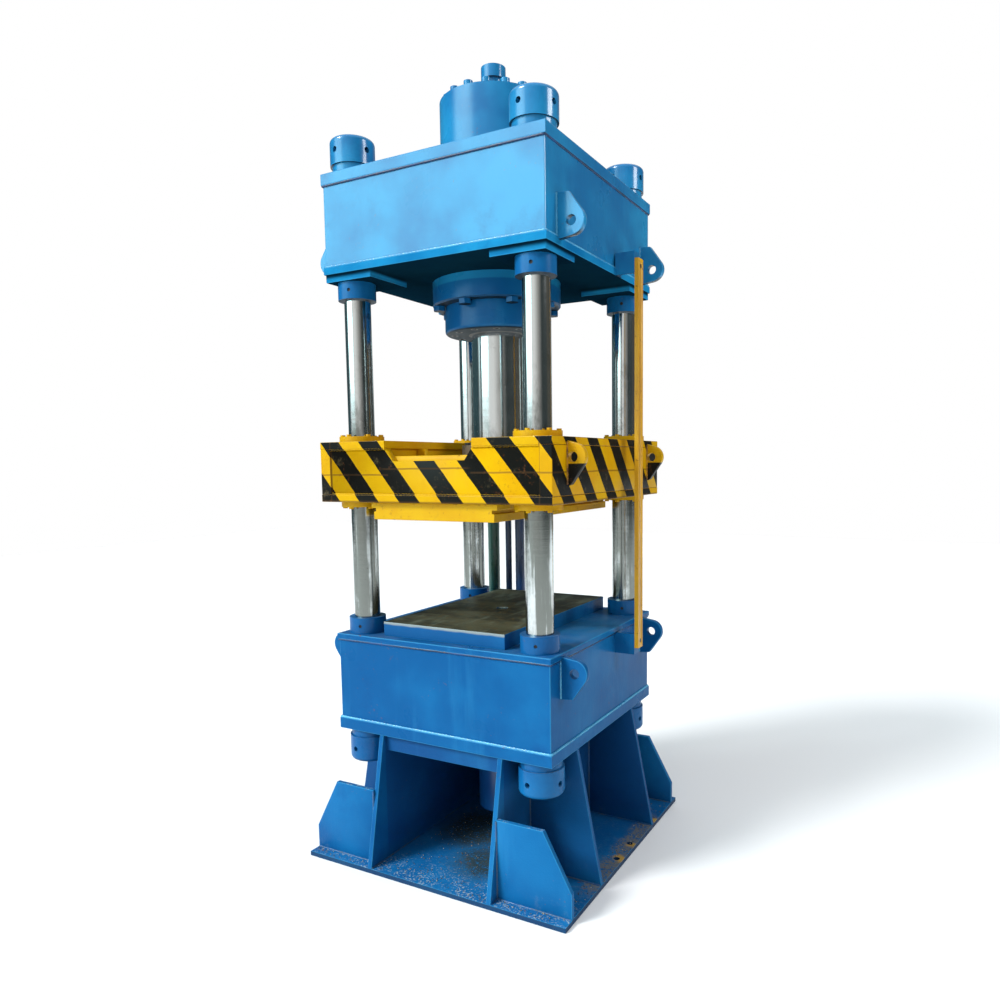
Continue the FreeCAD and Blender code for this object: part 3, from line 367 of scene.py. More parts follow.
def plate_enamel(name, gloss, coat_weight, dust):
    """Blue enamel, deeper below the crown's foot and paler on the crown as painted light."""
    paint = Finish(name)
    hue = colours()
    crown_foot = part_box("crown_bottom_plate")[0].z
    # Painted light: above the crown's foot both blues turn paler, and the varnish thickens there.
    crown_painted_light = paint.band(paint.z, crown_foot - 0.004, crown_foot + 0.004)
    deep = paint.mix(crown_painted_light, hue.blue_deep, hue.crown_deep)
    light = paint.mix(crown_painted_light, hue.blue_light, hue.crown_light)
    colour, grime, chips = blue_coat(paint, deep, light)
    colour, settled = dusty(paint, colour, dust)
    # Painted shade: faces that look down are laid almost fully in the near-black underside colour.
    below = paint.band(-paint.nz, 0.5, 0.9)
    colour = paint.mix(0.95 * below, colour, hue.under)
    roughness = 0.20 + 0.20 * paint.noise(5.0, 4.0) + 0.35 * settled
    roughness = roughness + 0.12 * grime + 0.3 * chips + 0.3 * below
    varnish = {}
    if coat_weight:
        varnish = {"Coat_Weight": coat_weight * (0.15 + 0.85 * crown_painted_light), "Coat_Roughness": 0.15}
    return paint.surface(colour, roughness, enamel_relief(paint), Specular_IOR_Level=gloss, **varnish)


@once
def blue_enamel(name):
    """Glossy enamel of the crown, nuts and cylinder."""
    return plate_enamel(name, 0.12, 0.75, 0.15)


@once
def bed_enamel(name):
    """Duller enamel of the bed, which is handled more."""
    return plate_enamel(name, 0.07, 0.0, 0.1)


@once
def sheltered_enamel(name):
    """Matt enamel of the plate over the work space, with painted shade on its downward faces."""
    return plate_enamel(name, 0.0, 0.0, 0.1)


@once
def deep_blue_enamel(name):
    """Darker, dustier enamel of the ejector."""
    paint = Finish(name)
    hue = colours()
    colour, grime, _ = blue_coat(paint, hue.blue_shade, hue.blue_deep)
    colour, settled = dusty(paint, colour, 0.35)
    roughness = 0.22 + 0.20 * paint.noise(7.0, 4.0) + 0.3 * settled + 0.15 * grime
    return paint.surface(colour, roughness, enamel_relief(paint, 0.001), Coat_Weight=0.3, Coat_Roughness=0.15)


@once
def floor_enamel(name):
    """Blue enamel of the pedestal and base plate, dirty near the floor, with painted shade on the walls
    inside the pedestal.
    """
    paint = Finish(name)
    hue = colours()
    colour, grime, chips = blue_coat(paint, hue.blue_deep, hue.blue_light)
    level = paint.looks_up()
    wall = 1.0 - level
    speckle = paint.noise(115.0, 3.0, 0.7)
    drift = paint.noise(9.0, 6.0, 0.7)
    ragged = 0.10 * (drift - 0.5)

    def near(x, y, inner, outer):
        """1 within inner of a place on the base plate, 0 beyond outer, with a ragged edge."""
        away = paint.maths("SQRT", (paint.x - x) * (paint.x - x) + (paint.y - y) * (paint.y - y))
        return level * (1.0 - paint.band(away + ragged, inner, outer))

    oily = paint.maths("MAXIMUM", *[near(*place) for place in OILY_PLACES])
    dirt = oily * paint.band(speckle, 0.30, 0.50)
    colour = paint.mix(0.92 * dirt, colour, hue.swarf)

    edge = level * paint.band(paint.x + ragged, 0.50, 0.55) * (1.0 - paint.band(abs(paint.y), 0.30, 0.42))
    edge_dirt = edge * paint.band(speckle + 0.5 * (drift - 0.5), 0.38, 0.52)
    colour = paint.mix(0.8 * edge_dirt, colour, DRY_DIRT)

    ledge = level * (1.0 - paint.band(paint.y + ragged, -0.56, -0.40))
    pale = paint.band(speckle, 0.54, 0.62) * paint.band(drift, 0.38, 0.55) * (0.12 * level + 0.88 * ledge)
    colour = paint.mix(0.75 * pale, colour, PALE_SPECKS)

    brown = paint.band(paint.noise(48.0, 3.0, 0.6), 0.62, 0.68) * paint.band(paint.noise(5.0, 3.0), 0.5, 0.62)
    colour = paint.mix(0.8 * level * brown, colour, hue.rust)
    first, second, third = [near(*place) for place in FLAKED_PLACES]
    colour = paint.mix(paint.maths("MINIMUM", first + second + third, 0.9), colour, YELLOW_PRIMER)

    low = 1.0 - paint.band(paint.z, 0.0, 0.14)
    splash = low * wall * paint.band(paint.noise(17.0, 6.0, 0.75), 0.54, 0.76)
    colour = paint.mix(0.35 * splash, colour, SPLASHES)
    colour = paint.mix(0.7 * wall * (paint.z < 0.019), colour, DAMP_EDGE)
    # Painted shade: walls inside the pedestal's front and back faces are darkened from about 2 cm up, fully
    # above 10 cm.
    painted_bay_shade = wall * (abs(paint.y) < 0.49) * paint.band(paint.z, 0.022, 0.10)
    colour = paint.mix(0.35 * painted_bay_shade, colour, BAY_SHADE)
    roughness = 0.26 + 0.22 * paint.noise(6.0, 4.0) + 0.45 * dirt + 0.15 * grime + 0.3 * chips
    relief = paint.bump(speckle, 0.0008, enamel_relief(paint, 0.003))
    return paint.surface(colour, roughness, relief, Specular_IOR_Level=0.07)


def yellow_coat(paint):
    """Cloudy yellow enamel with smears."""
    hue = colours()
    cloud = paint.band(paint.noise(5.0, 5.0, 0.6), 0.38, 0.68)
    colour = paint.mix(0.55 * cloud, hue.yellow, hue.yellow_deep)
    smear = paint.band(paint.noise(9.0, 6.0, 0.7, stretch=(1.0, 1.0, 0.4)), 0.56, 0.78)
    return paint.mix(0.35 * smear, colour, YELLOW_SMEAR)


def seam_line(paint, where, height, depth=0.0032, sway=0.006):
    """Thin line at a height, within a mask, where a weld shows through the enamel."""
    path = height + sway * (paint.noise(7.0, 2.0) - 0.5)
    line = 1.0 - paint.band(abs(paint.z - path), depth * 0.5, depth * 1.5)
    return line * where


@once
def hazard_enamel(name):
    """Slanted black and yellow stripes on the platen's outer walls."""
    paint = Finish(name)
    hue = colours()
    size = sizes()
    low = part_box("platen_bottom_plate")[0].z
    rise = size.stripe_lean * (paint.z - low)
    wobble = 0.006 * (paint.noise(18.0, 3.0) - 0.5)

    def stripes(along, start):
        turn = paint.maths("FRACT", (along + rise + wobble + start) / size.stripe_pitch)
        return turn < size.stripe_share

    side = abs(paint.x) > PLATEN_SIDE
    front = 1.0 - side
    wall = 1.0 - paint.band(abs(paint.nz), 0.8, 0.95)
    outside = wall * (1.0 - (abs(paint.x) < PLATEN_CAVITY) * (abs(paint.y) < PLATEN_CAVITY))
    black = side * stripes(paint.y, SIDE_STRIPE_START) + front * stripes(paint.x, FRONT_STRIPE_START)
    black = black * outside
    scuffs = paint.band(paint.noise(13.0, 6.0, 0.75), 0.56, 0.80)
    colour = paint.mix(black, yellow_coat(paint), paint.mix(scuffs, hue.black, SCUFFED_BLACK))

    middle = 1.0 - paint.band(abs(paint.x + 0.02), SLOT_EDGE - 0.01, SLOT_EDGE + 0.03)
    lines = seam_line(paint, middle, MIDDLE_LINE) + seam_line(paint, paint.x < -SLOT_EDGE, LEFT_LINE)
    lines = lines + seam_line(paint, paint.x > SLOT_EDGE, RIGHT_LINE)
    upright = 1.0 - paint.band(abs(abs(paint.x) - CORNER_LINE), 0.0015, 0.004)
    seams = paint.maths("MINIMUM", (lines + upright * front) * outside, 1.0)
    colour = paint.mix(0.60 * seams * (1.0 - 0.6 * black), colour, SEAM_BROWN)
    foot = 1.0 - paint.band(paint.z, low + 0.002, low + 0.010)
    colour = paint.mix(0.65 * foot * wall, colour, FOOT_BROWN)
    edge = paint.worn_edge()
    chips = paint.band(paint.noise(55.0, 4.0, 0.65), 0.60, 0.66) * paint.band(paint.noise(6.0, 2.0), 0.5, 0.6)
    chips = chips * (0.3 + 0.7 * edge)
    colour = paint.mix(chips, colour, hue.rust)
    roughness = 0.24 + 0.22 * paint.noise(6.0, 4.0) + 0.25 * seams + 0.3 * chips
    return paint.surface(colour, roughness, enamel_relief(paint, 0.002), Specular_IOR_Level=0.07)


@once
def platen_lug_enamel(name):
    """Lugs that are yellow above and black below."""
    paint = Finish(name)
    hue = colours()
    middle = (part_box("platen_lugs")[0].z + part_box("platen_lugs")[1].z) / 2
    split = paint.band(paint.z + 0.010 * (paint.noise(12.0, 3.0) - 0.5), middle - 0.004, middle + 0.001)
    colour = paint.mix(split, hue.black, yellow_coat(paint))
    edge = paint.worn_edge()
    chips = paint.band(paint.noise(50.0, 4.0, 0.65), 0.58, 0.66) * (0.25 + 0.6 * edge)
    colour = paint.mix(chips, colour, hue.rust)
    roughness = 0.25 + 0.25 * paint.noise(8.0, 4.0) + 0.3 * chips
    return paint.surface(colour, roughness, enamel_relief(paint, 0.001), Specular_IOR_Level=0.2)


@once
def yellow_enamel(name):
    """Plain yellow enamel of the guides and the tool plate."""
    paint = Finish(name)
    hue = colours()
    colour = yellow_coat(paint)
    edge = paint.worn_edge()
    chips = paint.band(paint.noise(58.0, 4.0, 0.65), 0.60, 0.67) * (0.3 + 0.6 * edge)
    colour = paint.mix(chips, colour, hue.rust)
    grime = paint.band(paint.noise(14.0, 6.0, 0.75), 0.56, 0.78)
    colour = paint.mix(0.35 * grime, colour, YELLOW_GRIME)
    roughness = 0.25 + 0.25 * paint.noise(8.0, 4.0) + 0.25 * grime
    return paint.surface(colour, roughness, enamel_relief(paint, 0.0015), Specular_IOR_Level=0.15)


@once
def rail_enamel(name):
    """Duller, handled yellow."""
    paint = Finish(name)
    hue = colours()
    worn = paint.band(paint.noise(9.0, 6.0, 0.7, stretch=(1.0, 1.0, 0.3)), 0.40, 0.70)
    colour = paint.mix(worn, RAIL_YELLOW, RAIL_HANDLED)
    chips = paint.band(paint.noise(60.0, 4.0, 0.65), 0.60, 0.67)
    colour = paint.mix(0.7 * chips, colour, hue.rust)
    roughness = 0.32 + 0.25 * worn
    return paint.surface(colour, roughness, enamel_relief(paint, 0.0008), Specular_IOR_Level=0.35)


def chrome_finish(name, film_and_dark_reflection_amount, film_and_dark_reflection_top):
    """Ground hard chrome with fine rings and an oil film, darker below one height where the film thickens and
    a painted dark reflection is laid in.
    """
    paint = Finish(name)
    hue = colours()
    rings = paint.noise(70.0, 3.0, 0.6, stretch=(0.05, 0.05, 1.0))
    blotch = paint.noise(6.5, 6.0, 0.72, stretch=(1.0, 1.0, 0.45))
    # Painted reflection: below this height the film thickens so the chrome turns darker, standing in for
    # darker surroundings mirrored there.
    low = 1.0 - paint.band(paint.z, film_and_dark_reflection_top - 0.7, film_and_dark_reflection_top)
    runs = paint.band(paint.noise(34.0, 4.0, 0.6, stretch=(1.0, 1.0, 0.025)), 0.44, 0.60)
    film_and_dark_reflection = paint.band(blotch + 0.34 * low + 0.30 * low * (runs - 0.5), 0.52, 0.80) * film_and_dark_reflection_amount
    colour = paint.mix(film_and_dark_reflection, hue.chrome, hue.oil_film)
    specks = paint.band(paint.noise(85.0, 4.0, 0.7), 0.62, 0.70) * paint.band(blotch, 0.48, 0.6)
    colour = paint.mix(0.6 * specks, colour, CHROME_SPECKS)
    roughness = 0.09 + 0.07 * rings + 0.06 * film_and_dark_reflection + 0.25 * specks
    relief = paint.bump(rings, 0.00012)
    return paint.surface(colour, roughness, relief, Metallic=1.0)


@once
def column_chrome(name):
    """Chrome of the columns, with most film and painted dark reflection below the platen."""
    return chrome_finish(name, 0.85, 2.05)


@once
def ram_chrome(name):
    """Cleaner chrome of the ram and the ejector rod."""
    return chrome_finish(name, 0.55, 2.0)


@once
def bolster_plate(name):
    """Bare work face with a rust film, painted round its sides."""
    paint = Finish(name)
    hue = colours()
    back = paint.band(paint.y, -0.25, 0.35)
    streaks = paint.noise(5.0, 7.0, 0.72, stretch=(0.45, 1.5, 1.0))
    dark = paint.band(streaks + 0.06 * back, 0.44, 0.58)
    face = paint.mix(dark, hue.worn_plate, hue.worn_plate_dark)
    rusty = paint.band(paint.noise(28.0, 6.0, 0.75), 0.48, 0.66)
    face = paint.mix(0.6 * rusty, face, RUST_FILM)
    pale = paint.band(paint.noise(14.0, 5.0, 0.7, stretch=(1.0, 0.3, 1.0)) + 0.07 * back, 0.52, 0.72)
    face = paint.mix(0.7 * pale, face, PALE_FILM)
    side, _, _ = blue_coat(paint, hue.blue_deep, hue.blue_light)
    height = paint.z + 0.008 * (paint.noise(15.0, 4.0) - 0.5)
    rim = paint.band(height, BARE_RIM_FROM, BARE_RIM_FROM + 0.008) * paint.band(-paint.ny, 0.3, 0.6)
    colour = paint.mix(0.8 * rim, side, BARE_RIM)
    colour = paint.mix(paint.band(paint.nz, 0.6, 0.9), colour, face)
    roughness = 0.34 + 0.25 * streaks
    relief = paint.bump(paint.noise(60.0, 5.0, 0.7), 0.0006)
    return paint.surface(colour, roughness, relief, Specular_IOR_Level=0.12)


@once
def worn_steel(name):
    """Turned steel that is handled when tools are changed."""
    paint = Finish(name)
    hue = colours()
    cloud = paint.band(paint.noise(14.0, 6.0, 0.7), 0.42, 0.7)
    colour = paint.mix(cloud, (0.34, 0.33, 0.31), hue.worn_plate)
    roughness = 0.28 + 0.3 * cloud
    return paint.surface(colour, roughness, paint.bump(paint.noise(90.0, 4.0), 0.0003), Metallic=0.8)


@once
def blackened_steel(name):
    """Blackened screws with a trace of rust."""
    paint = Finish(name)
    cloud = paint.band(paint.noise(30.0, 5.0, 0.7), 0.45, 0.7)
    colour = paint.mix(cloud, (0.022, 0.024, 0.028), (0.10, 0.07, 0.045))
    roughness = 0.35 + 0.3 * cloud
    return paint.surface(colour, roughness, paint.bump(paint.noise(140.0, 3.0), 0.0002), Metallic=0.6)


@once
def bearing_bronze(name):
    """Bored bronze with fine rings."""
    paint = Finish(name)
    rings = paint.noise(120.0, 3.0, 0.6, stretch=(0.05, 0.05, 1.0))
    cloud = paint.band(paint.noise(20.0, 5.0, 0.7), 0.4, 0.7)
    colour = paint.mix(cloud, (0.48, 0.29, 0.09), (0.24, 0.13, 0.05))
    return paint.surface(colour, 0.22 + 0.2 * rings, paint.bump(rings, 0.0001), Metallic=1.0)


@once
def seal_rubber(name):
    """Black seal rubber."""
    paint = Finish(name)
    cloud = paint.noise(40.0, 4.0, 0.6)
    colour = paint.mix(cloud, (0.012, 0.012, 0.013), (0.035, 0.033, 0.03))
    return paint.surface(colour, 0.35 + 0.25 * cloud, paint.bump(paint.noise(160.0, 2.0), 0.0002))


def pipe_finish(name, first, second):
    """Streaky pipe enamel between two colours."""
    paint = Finish(name)
    cloud = paint.band(paint.noise(6.0, 5.0, 0.65, stretch=(1.0, 1.0, 0.4)), 0.38, 0.68)
    colour = paint.mix(cloud, first, second)
    dirt = paint.band(paint.noise(22.0, 6.0, 0.75), 0.55, 0.75)
    colour = paint.mix(0.35 * dirt, colour, PIPE_DIRT)
    return paint.surface(colour, 0.26 + 0.3 * cloud, enamel_relief(paint, 0.0005), Coat_Weight=0.25)


@once
def green_pipe(name):
    """Dark green enamel of the suction pipe."""
    return pipe_finish(name, colours().pipe_green, PIPE_TEAL)


@once
def navy_pipe(name):
    """Dark blue enamel of the thinner pipes."""
    return pipe_finish(name, colours().navy, colours().blue_shade)


@once
def blue_bead(name):
    """Weld beads painted bright as a painted highlight, for seams that catch the light."""
    paint = Finish(name)
    hue = colours()
    cloud = paint.band(paint.noise(9.0, 4.0, 0.6), 0.36, 0.66)
    # Painted highlight: the beads are laid in bright blues as if lit.
    colour = paint.mix(cloud, hue.blue_bright, BEAD_HIGHLIGHT)
    rusty = paint.band(paint.noise(34.0, 5.0, 0.7), 0.66, 0.74)
    colour = paint.mix(0.7 * rusty, colour, hue.rust)
    ripple = paint.bump(paint.noise(120.0, 2.0), 0.0004)
    return paint.surface(colour, 0.24 + 0.25 * cloud, ripple, Coat_Weight=0.3)


@once
def dark_bead(name):
    """Weld beads painted dark as painted shade, for seams under a ledge, with rust in their roots."""
    paint = Finish(name)
    hue = colours()
    cloud = paint.band(paint.noise(8.0, 4.0, 0.6), 0.40, 0.70)
    # Painted shade: navy and shaded blue stand in for the shade under the plate's ledge.
    colour = paint.mix(cloud, hue.navy, hue.blue_shade)
    rusty = paint.band(paint.noise(30.0, 5.0, 0.7), 0.60, 0.70)
    colour = paint.mix(0.7 * rusty, colour, hue.rust)
    return paint.surface(colour, 0.3 + 0.25 * cloud, paint.bump(paint.noise(120.0, 2.0), 0.0004))


@once
def floor_bead(name):
    """Dusty weld beads of the pedestal."""
    paint = Finish(name)
    hue = colours()
    cloud = paint.band(paint.noise(13.0, 5.0, 0.7), 0.36, 0.66)
    colour = paint.mix(cloud, hue.blue_deep, DUSTY_BEAD)
    return paint.surface(colour, 0.35 + 0.3 * cloud, paint.bump(paint.noise(120.0, 2.0), 0.0005))


@once
def yellow_bead(name):
    """Yellow weld beads with rust in their roots."""
    paint = Finish(name)
    hue = colours()
    rusty = paint.band(paint.noise(24.0, 5.0, 0.7), 0.42, 0.62)
    colour = paint.mix(rusty, hue.yellow_deep, RUSTY_BEAD)
    return paint.surface(colour, 0.3 + 0.3 * rusty, paint.bump(paint.noise(120.0, 2.0), 0.0005))


@once
def grit_metal(name):
    """Swarf and crumbs of concrete in several greys and browns."""
    paint = Finish(name)
    tone = paint.noise(260.0, 1.0)
    colour = paint.mix(paint.band(tone, 0.40, 0.52), (0.03, 0.035, 0.03), (0.16, 0.11, 0.05))
    colour = paint.mix(paint.band(tone, 0.56, 0.62), colour, (0.50, 0.50, 0.46))
    return paint.surface(colour, 0.55 + 0.2 * tone, paint.bump(tone, 0.0006), Metallic=0.2)


# ---------------------------------------------------------------- pieces
def body_of(node):
    for body, nodes in frame["record"]["behaviour"]["bodies"].items():
        if node in nodes:
            return body
    raise RuntimeError("no body holds " + node)


def coat(finish, *nodes):
    """Gives CAD nodes a finish through their own material slots."""
    for node in nodes:
        for material_slot in frame["nodes"][node].material_slots:
            material_slot.material = finish


def linked(name, data):
    """New object in the scene for a mesh, light or camera."""
    made = bpy.data.objects.new(name, data)
    bpy.context.scene.collection.objects.link(made)
    return made


SHARP_ANGLE = math.radians(40.0)
SHADE_ANGLE = math.radians(28.0)
FLAT_ANGLE = math.radians(0.5)
WELD_DISTANCE = 2e-5


def outer_edges(solid, shortest, upright):
    """Sharp outer edges that are long enough to be eased."""
    picked = []
    for edge in solid.edges:
        if not edge.is_manifold or not edge.is_convex or edge.calc_length() < shortest:
            continue
        if edge.calc_face_angle(0.0) < SHARP_ANGLE:
            continue
        run = (edge.verts[1].co - edge.verts[0].co).normalized()
        if not upright or abs(run.z) > 0.9:
            picked.append(edge)
    return picked


def eased(node, finish, radius, shortest=0.05, upright=False):
    """Stands in for a plate node, with its long outer edges rounded and marked for wear and for the blue
    enamels' painted highlight.
    """
    solid = bmesh.new()
    solid.from_mesh(frame["nodes"][node].data)
    bmesh.ops.remove_doubles(solid, verts=solid.verts, dist=WELD_DISTANCE)
    bmesh.ops.dissolve_limit(solid, angle_limit=FLAT_ANGLE, verts=solid.verts, edges=solid.edges)
    worn = solid.faces.layers.float.new("edge")
    edges = outer_edges(solid, shortest, upright)
    rounded = bmesh.ops.bevel(
        solid, geom=edges, offset=radius, offset_type="OFFSET", segments=2, profile=0.5,
        affect="EDGES", clamp_overlap=True,
    )
    for face in rounded["faces"]:
        face[worn] = 1.0
    for face in solid.faces:
        face.smooth = True
    bmesh.ops.triangulate(solid, faces=[face for face in solid.faces if len(face.verts) > 4])
    mesh = bpy.data.meshes.new(node + "_plate")
    solid.to_mesh(mesh)
    solid.free()
    mesh.set_sharp_from_angle(angle=SHADE_ANGLE)
    mesh.materials.append(finish)
    piece = linked(node + "_finished", mesh)
    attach(piece, body_of(node))
    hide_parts(node)


# ---------------------------------------------------------------- geometry nodes
def new_tree(name, inputs):
    """Node group with named inputs after its geometry."""
    tree = bpy.data.node_groups.new(name, "GeometryNodeTree")
    tree.interface.new_socket("Geometry", in_out="INPUT", socket_type="NodeSocketGeometry")
    for label, kind in inputs:
        tree.interface.new_socket(label, in_out="INPUT", socket_type="NodeSocket" + kind)
    tree.interface.new_socket("Geometry", in_out="OUTPUT", socket_type="NodeSocketGeometry")
    nodes = Nodes(tree)
    return nodes, nodes.node("NodeGroupInput")


def close_tree(nodes, geometry, material):
    """Ends a tree in real geometry with one material."""
    real = nodes.node("GeometryNodeRealizeInstances", values={0: geometry})
    coated = nodes.node("GeometryNodeSetMaterial", values={"Geometry": real, "Material": material})
    nodes.node("NodeGroupOutput", values={0: coated})
    return nodes.tree


def bead_tree():
    """Weld bead: a rippled tube along each run of edges."""
    known = bpy.data.node_groups.get("weld_bead")
    if known:
        return known
    lengths = [(label, "Float") for label in ("Radius", "Step", "Pitch", "Ripple")]
    nodes, given = new_tree("weld_bead", lengths + [("Material", "Material")])
    curve = nodes.node("GeometryNodeMeshToCurve", values={"Mesh": given})
    sockets = {"Curve": curve, "Length": given.other("Step")}
    curve = nodes.node("GeometryNodeResampleCurve", {"mode": "LENGTH"}, sockets)
    run = nodes.node("GeometryNodeSplineParameter", out="Length")
    wave = nodes.maths("SINE", run * (2.0 * math.pi) / given.other("Pitch"))
    uneven = nodes.node("ShaderNodeTexNoise", values={"Scale": 23.0, "Detail": 2.0}) - 0.5
    swell = 1.0 + given.other("Ripple") * (wave + 2.2 * uneven)
    sockets = {"Resolution": 8, "Radius": given.other("Radius")}
    ring = nodes.node("GeometryNodeCurvePrimitiveCircle", values=sockets)
    sockets = {"Curve": curve, "Profile Curve": ring, "Scale": swell, "Fill Caps": True}
    tube = nodes.node("GeometryNodeCurveToMesh", values=sockets)
    smooth = nodes.node("GeometryNodeSetShadeSmooth", values={"Geometry": tube, "Shade Smooth": True})
    return close_tree(nodes, smooth, given.other("Material"))


def grit_tree():
    """Grains strewn over faces, each a small turned and squashed stone."""
    inputs = [("Density", "Float"), ("Grain", "Float"), ("Seed", "Int"), ("Material", "Material")]
    nodes, given = new_tree("strewn_grit", inputs)
    seed = given.other("Seed")
    sockets = {"Mesh": given, "Density": given.other("Density"), "Seed": seed}
    places = nodes.node("GeometryNodeDistributePointsOnFaces", {"distribute_method": "RANDOM"}, sockets)
    sockets = {"Radius": given.other("Grain"), "Subdivisions": 1}
    grain = nodes.node("GeometryNodeMeshIcoSphere", values=sockets)
    vector = {"data_type": "FLOAT_VECTOR"}
    sockets = {0: (0.0, 0.0, 0.0), 1: (6.2, 6.2, 6.2), "Seed": seed}
    turn = nodes.node("FunctionNodeRandomValue", vector, sockets)
    sockets = {0: (0.35, 0.35, 0.25), 1: (1.5, 1.2, 0.7), "Seed": seed + 1}
    spread = nodes.node("FunctionNodeRandomValue", vector, sockets)
    sockets = {"Points": places, "Instance": grain, "Rotation": turn, "Scale": spread}
    strewn = nodes.node("GeometryNodeInstanceOnPoints", values=sockets)
    return close_tree(nodes, strewn, given.other("Material"))


def grown(name, base, tree, body, values):
    """Runs a tree on a base mesh and keeps its result as a plain piece."""
    holder = linked(name + "_base", base)
    modifier = holder.modifiers.new("grow", "NODES")
    modifier.node_group = tree
    for item in tree.interface.items_tree:
        if item.in_out == "INPUT" and item.name in values:
            modifier[item.identifier] = values[item.name]
    bpy.context.view_layer.update()
    evaluated = holder.evaluated_get(bpy.context.evaluated_depsgraph_get())
    mesh = bpy.data.meshes.new_from_object(evaluated)
    holder.modifiers.remove(modifier)
    bpy.data.objects.remove(holder)
    piece = linked(name, mesh)
    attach(piece, body)


def beads(name, runs, finish, body, radius=None):
    """Weld beads along runs of points; a run that ends where it starts is a closed ring."""
    size = sizes()
    points, edges = [], []
    for run in runs:
        first = len(points)
        closed = run[0] == run[-1]
        corners = run[:-1] if closed else run
        points += corners
        edges += [(first + i, first + i + 1) for i in range(len(corners) - 1)]
        if closed:
            edges.append((first + len(corners) - 1, first))
    base = bpy.data.meshes.new(name)
    base.from_pydata(points, edges, [])
    values = {
        "Radius": radius or size.bead_radius, "Step": size.bead_step, "Pitch": size.bead_pitch,
        "Ripple": size.bead_ripple, "Material": finish,
    }
    grown(name, base, bead_tree(), body, values)


def ring_run(half, z):
    """Closed square of points round the frame's middle."""
    corners = [(-half, -half, z), (half, -half, z), (half, half, z), (-half, half, z)]
    return corners + corners[:1]


def lug_runs(wall, lugs):
    """Beads down both faces of each lug's root."""
    low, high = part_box(lugs)
    runs = []
    for side in (-1, 1):
        for middle in (-LUG_Y, LUG_Y):
            for face in (-1, 1):
                x = side * (wall + LUG_GAP)
                y = middle + face * (LUG_THICKNESS / 2 + LUG_GAP)
                runs.append([(x, y, low.z + BEAD_END), (x, y, high.z - BEAD_END)])
    return runs


# ---------------------------------------------------------------- groups of pieces
# Weld beads sink this far into the lip beside a wall, and stop this far short of a plate's edge.
LIP_SINK = 0.0015
BEAD_END = 0.004
THIN_BEAD = 0.004
UPRIGHT_BEAD = 0.0045
PLATEN_BEAD = 0.0042
# Lugs: distance of their middles from the centre plane, thickness, and the beads' gap to them.
LUG_Y = 0.4
LUG_THICKNESS = 0.025
LUG_GAP = 0.001
# Pedestal: half thickness of a cross rib or gusset, and half the length of the ribs' top seam.
HALF_RIB = 0.010
RIB_TOP = 0.49
# Platen: half width of its slot and distance of its front and back walls from the centre plane.
SLOT_HALF = 0.2
PLATEN_WALL = 0.521


def make_box_seams(name, box, lugs):
    """Seams where a box meets its two plates and its lugs."""
    low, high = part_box(box)
    wall = high.x + LIP_SINK
    lower, upper = ring_run(wall, low.z + LIP_SINK), ring_run(wall, high.z - LIP_SINK)
    # The lower seam's beads carry a painted highlight and the upper seam's beads carry painted shade.
    beads(name + "_lower_seam", [lower], blue_bead(), "frame")
    beads(name + "_upper_seam", [upper], dark_bead(), "frame")
    beads(name + "_lug_seams", lug_runs(high.x, lugs), blue_bead(), "frame", THIN_BEAD)


def make_crown():
    size = sizes()
    blue = blue_enamel()
    eased("crown_box", blue, size.plate_easing, shortest=0.2, upright=True)
    eased("crown_top_plate", blue, size.plate_easing, shortest=0.2)
    eased("crown_bottom_plate", sheltered_enamel(), size.plate_easing, shortest=0.1)
    eased("crown_lugs", blue, size.rib_easing, shortest=0.004)
    make_box_seams("crown", "crown_box", "crown_lugs")


def make_bed():
    size = sizes()
    blue = bed_enamel()
    eased("bed_box", blue, size.plate_easing, shortest=0.2, upright=True)
    eased("bed_top_plate", blue, size.plate_easing, shortest=0.2)
    eased("bed_bottom_plate", blue, size.plate_easing, shortest=0.2)
    eased("bed_lugs", blue, size.rib_easing, shortest=0.004)
    make_box_seams("bed", "bed_box", "bed_lugs")
    eased("bolster", bolster_plate(), size.rib_easing, shortest=0.3)
    coat(blackened_steel(), "bolster_bolts")


def make_pedestal():
    size = sizes()
    paint = floor_enamel()
    eased("base_plate", paint, size.thin_easing, shortest=0.3)
    ribs = ["pedestal_rib_left", "pedestal_rib_right", "pedestal_cross_ribs", "pedestal_back_web"]
    for node in ribs + ["pedestal_gussets", "pedestal_headers"]:
        eased(node, paint, size.rib_easing, shortest=0.08)
    floor_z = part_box("base_plate")[1].z
    rib_low, rib_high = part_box("pedestal_rib_right")
    foot_y = rib_high.y - BEAD_END
    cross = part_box("pedestal_cross_ribs")[1]
    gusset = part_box("pedestal_gussets")[1]
    along, across, standing = [], [], []
    for side in (-1, 1):
        for x in (side * rib_low.x, side * rib_high.x):
            along.append([(x, -foot_y, floor_z), (x, foot_y, floor_z)])
            top = rib_high.z - 0.001
            along.append([(x, -RIB_TOP, top), (x, RIB_TOP, top)])
        root = side * rib_high.x
        for end in (-1, 1):
            for face in (-1, 1):
                for reach, top in ((cross, rib_high.z), (gusset, gusset.z - BEAD_END)):
                    y = end * (reach.y - HALF_RIB + face * HALF_RIB)
                    across.append([(root, y, floor_z), (side * (reach.x - BEAD_END), y, floor_z)])
                    standing.append([(root, y, floor_z), (root, y, top)])
    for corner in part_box("pedestal_back_web"):
        across.append([(-rib_low.x, corner.y, floor_z), (rib_low.x, corner.y, floor_z)])
    beads("rib_seams", along, floor_bead(), "frame")
    beads("cross_seams", across, floor_bead(), "frame")
    beads("upright_seams", standing, floor_bead(), "frame", UPRIGHT_BEAD)
    make_grit(floor_z, rib_low.x)


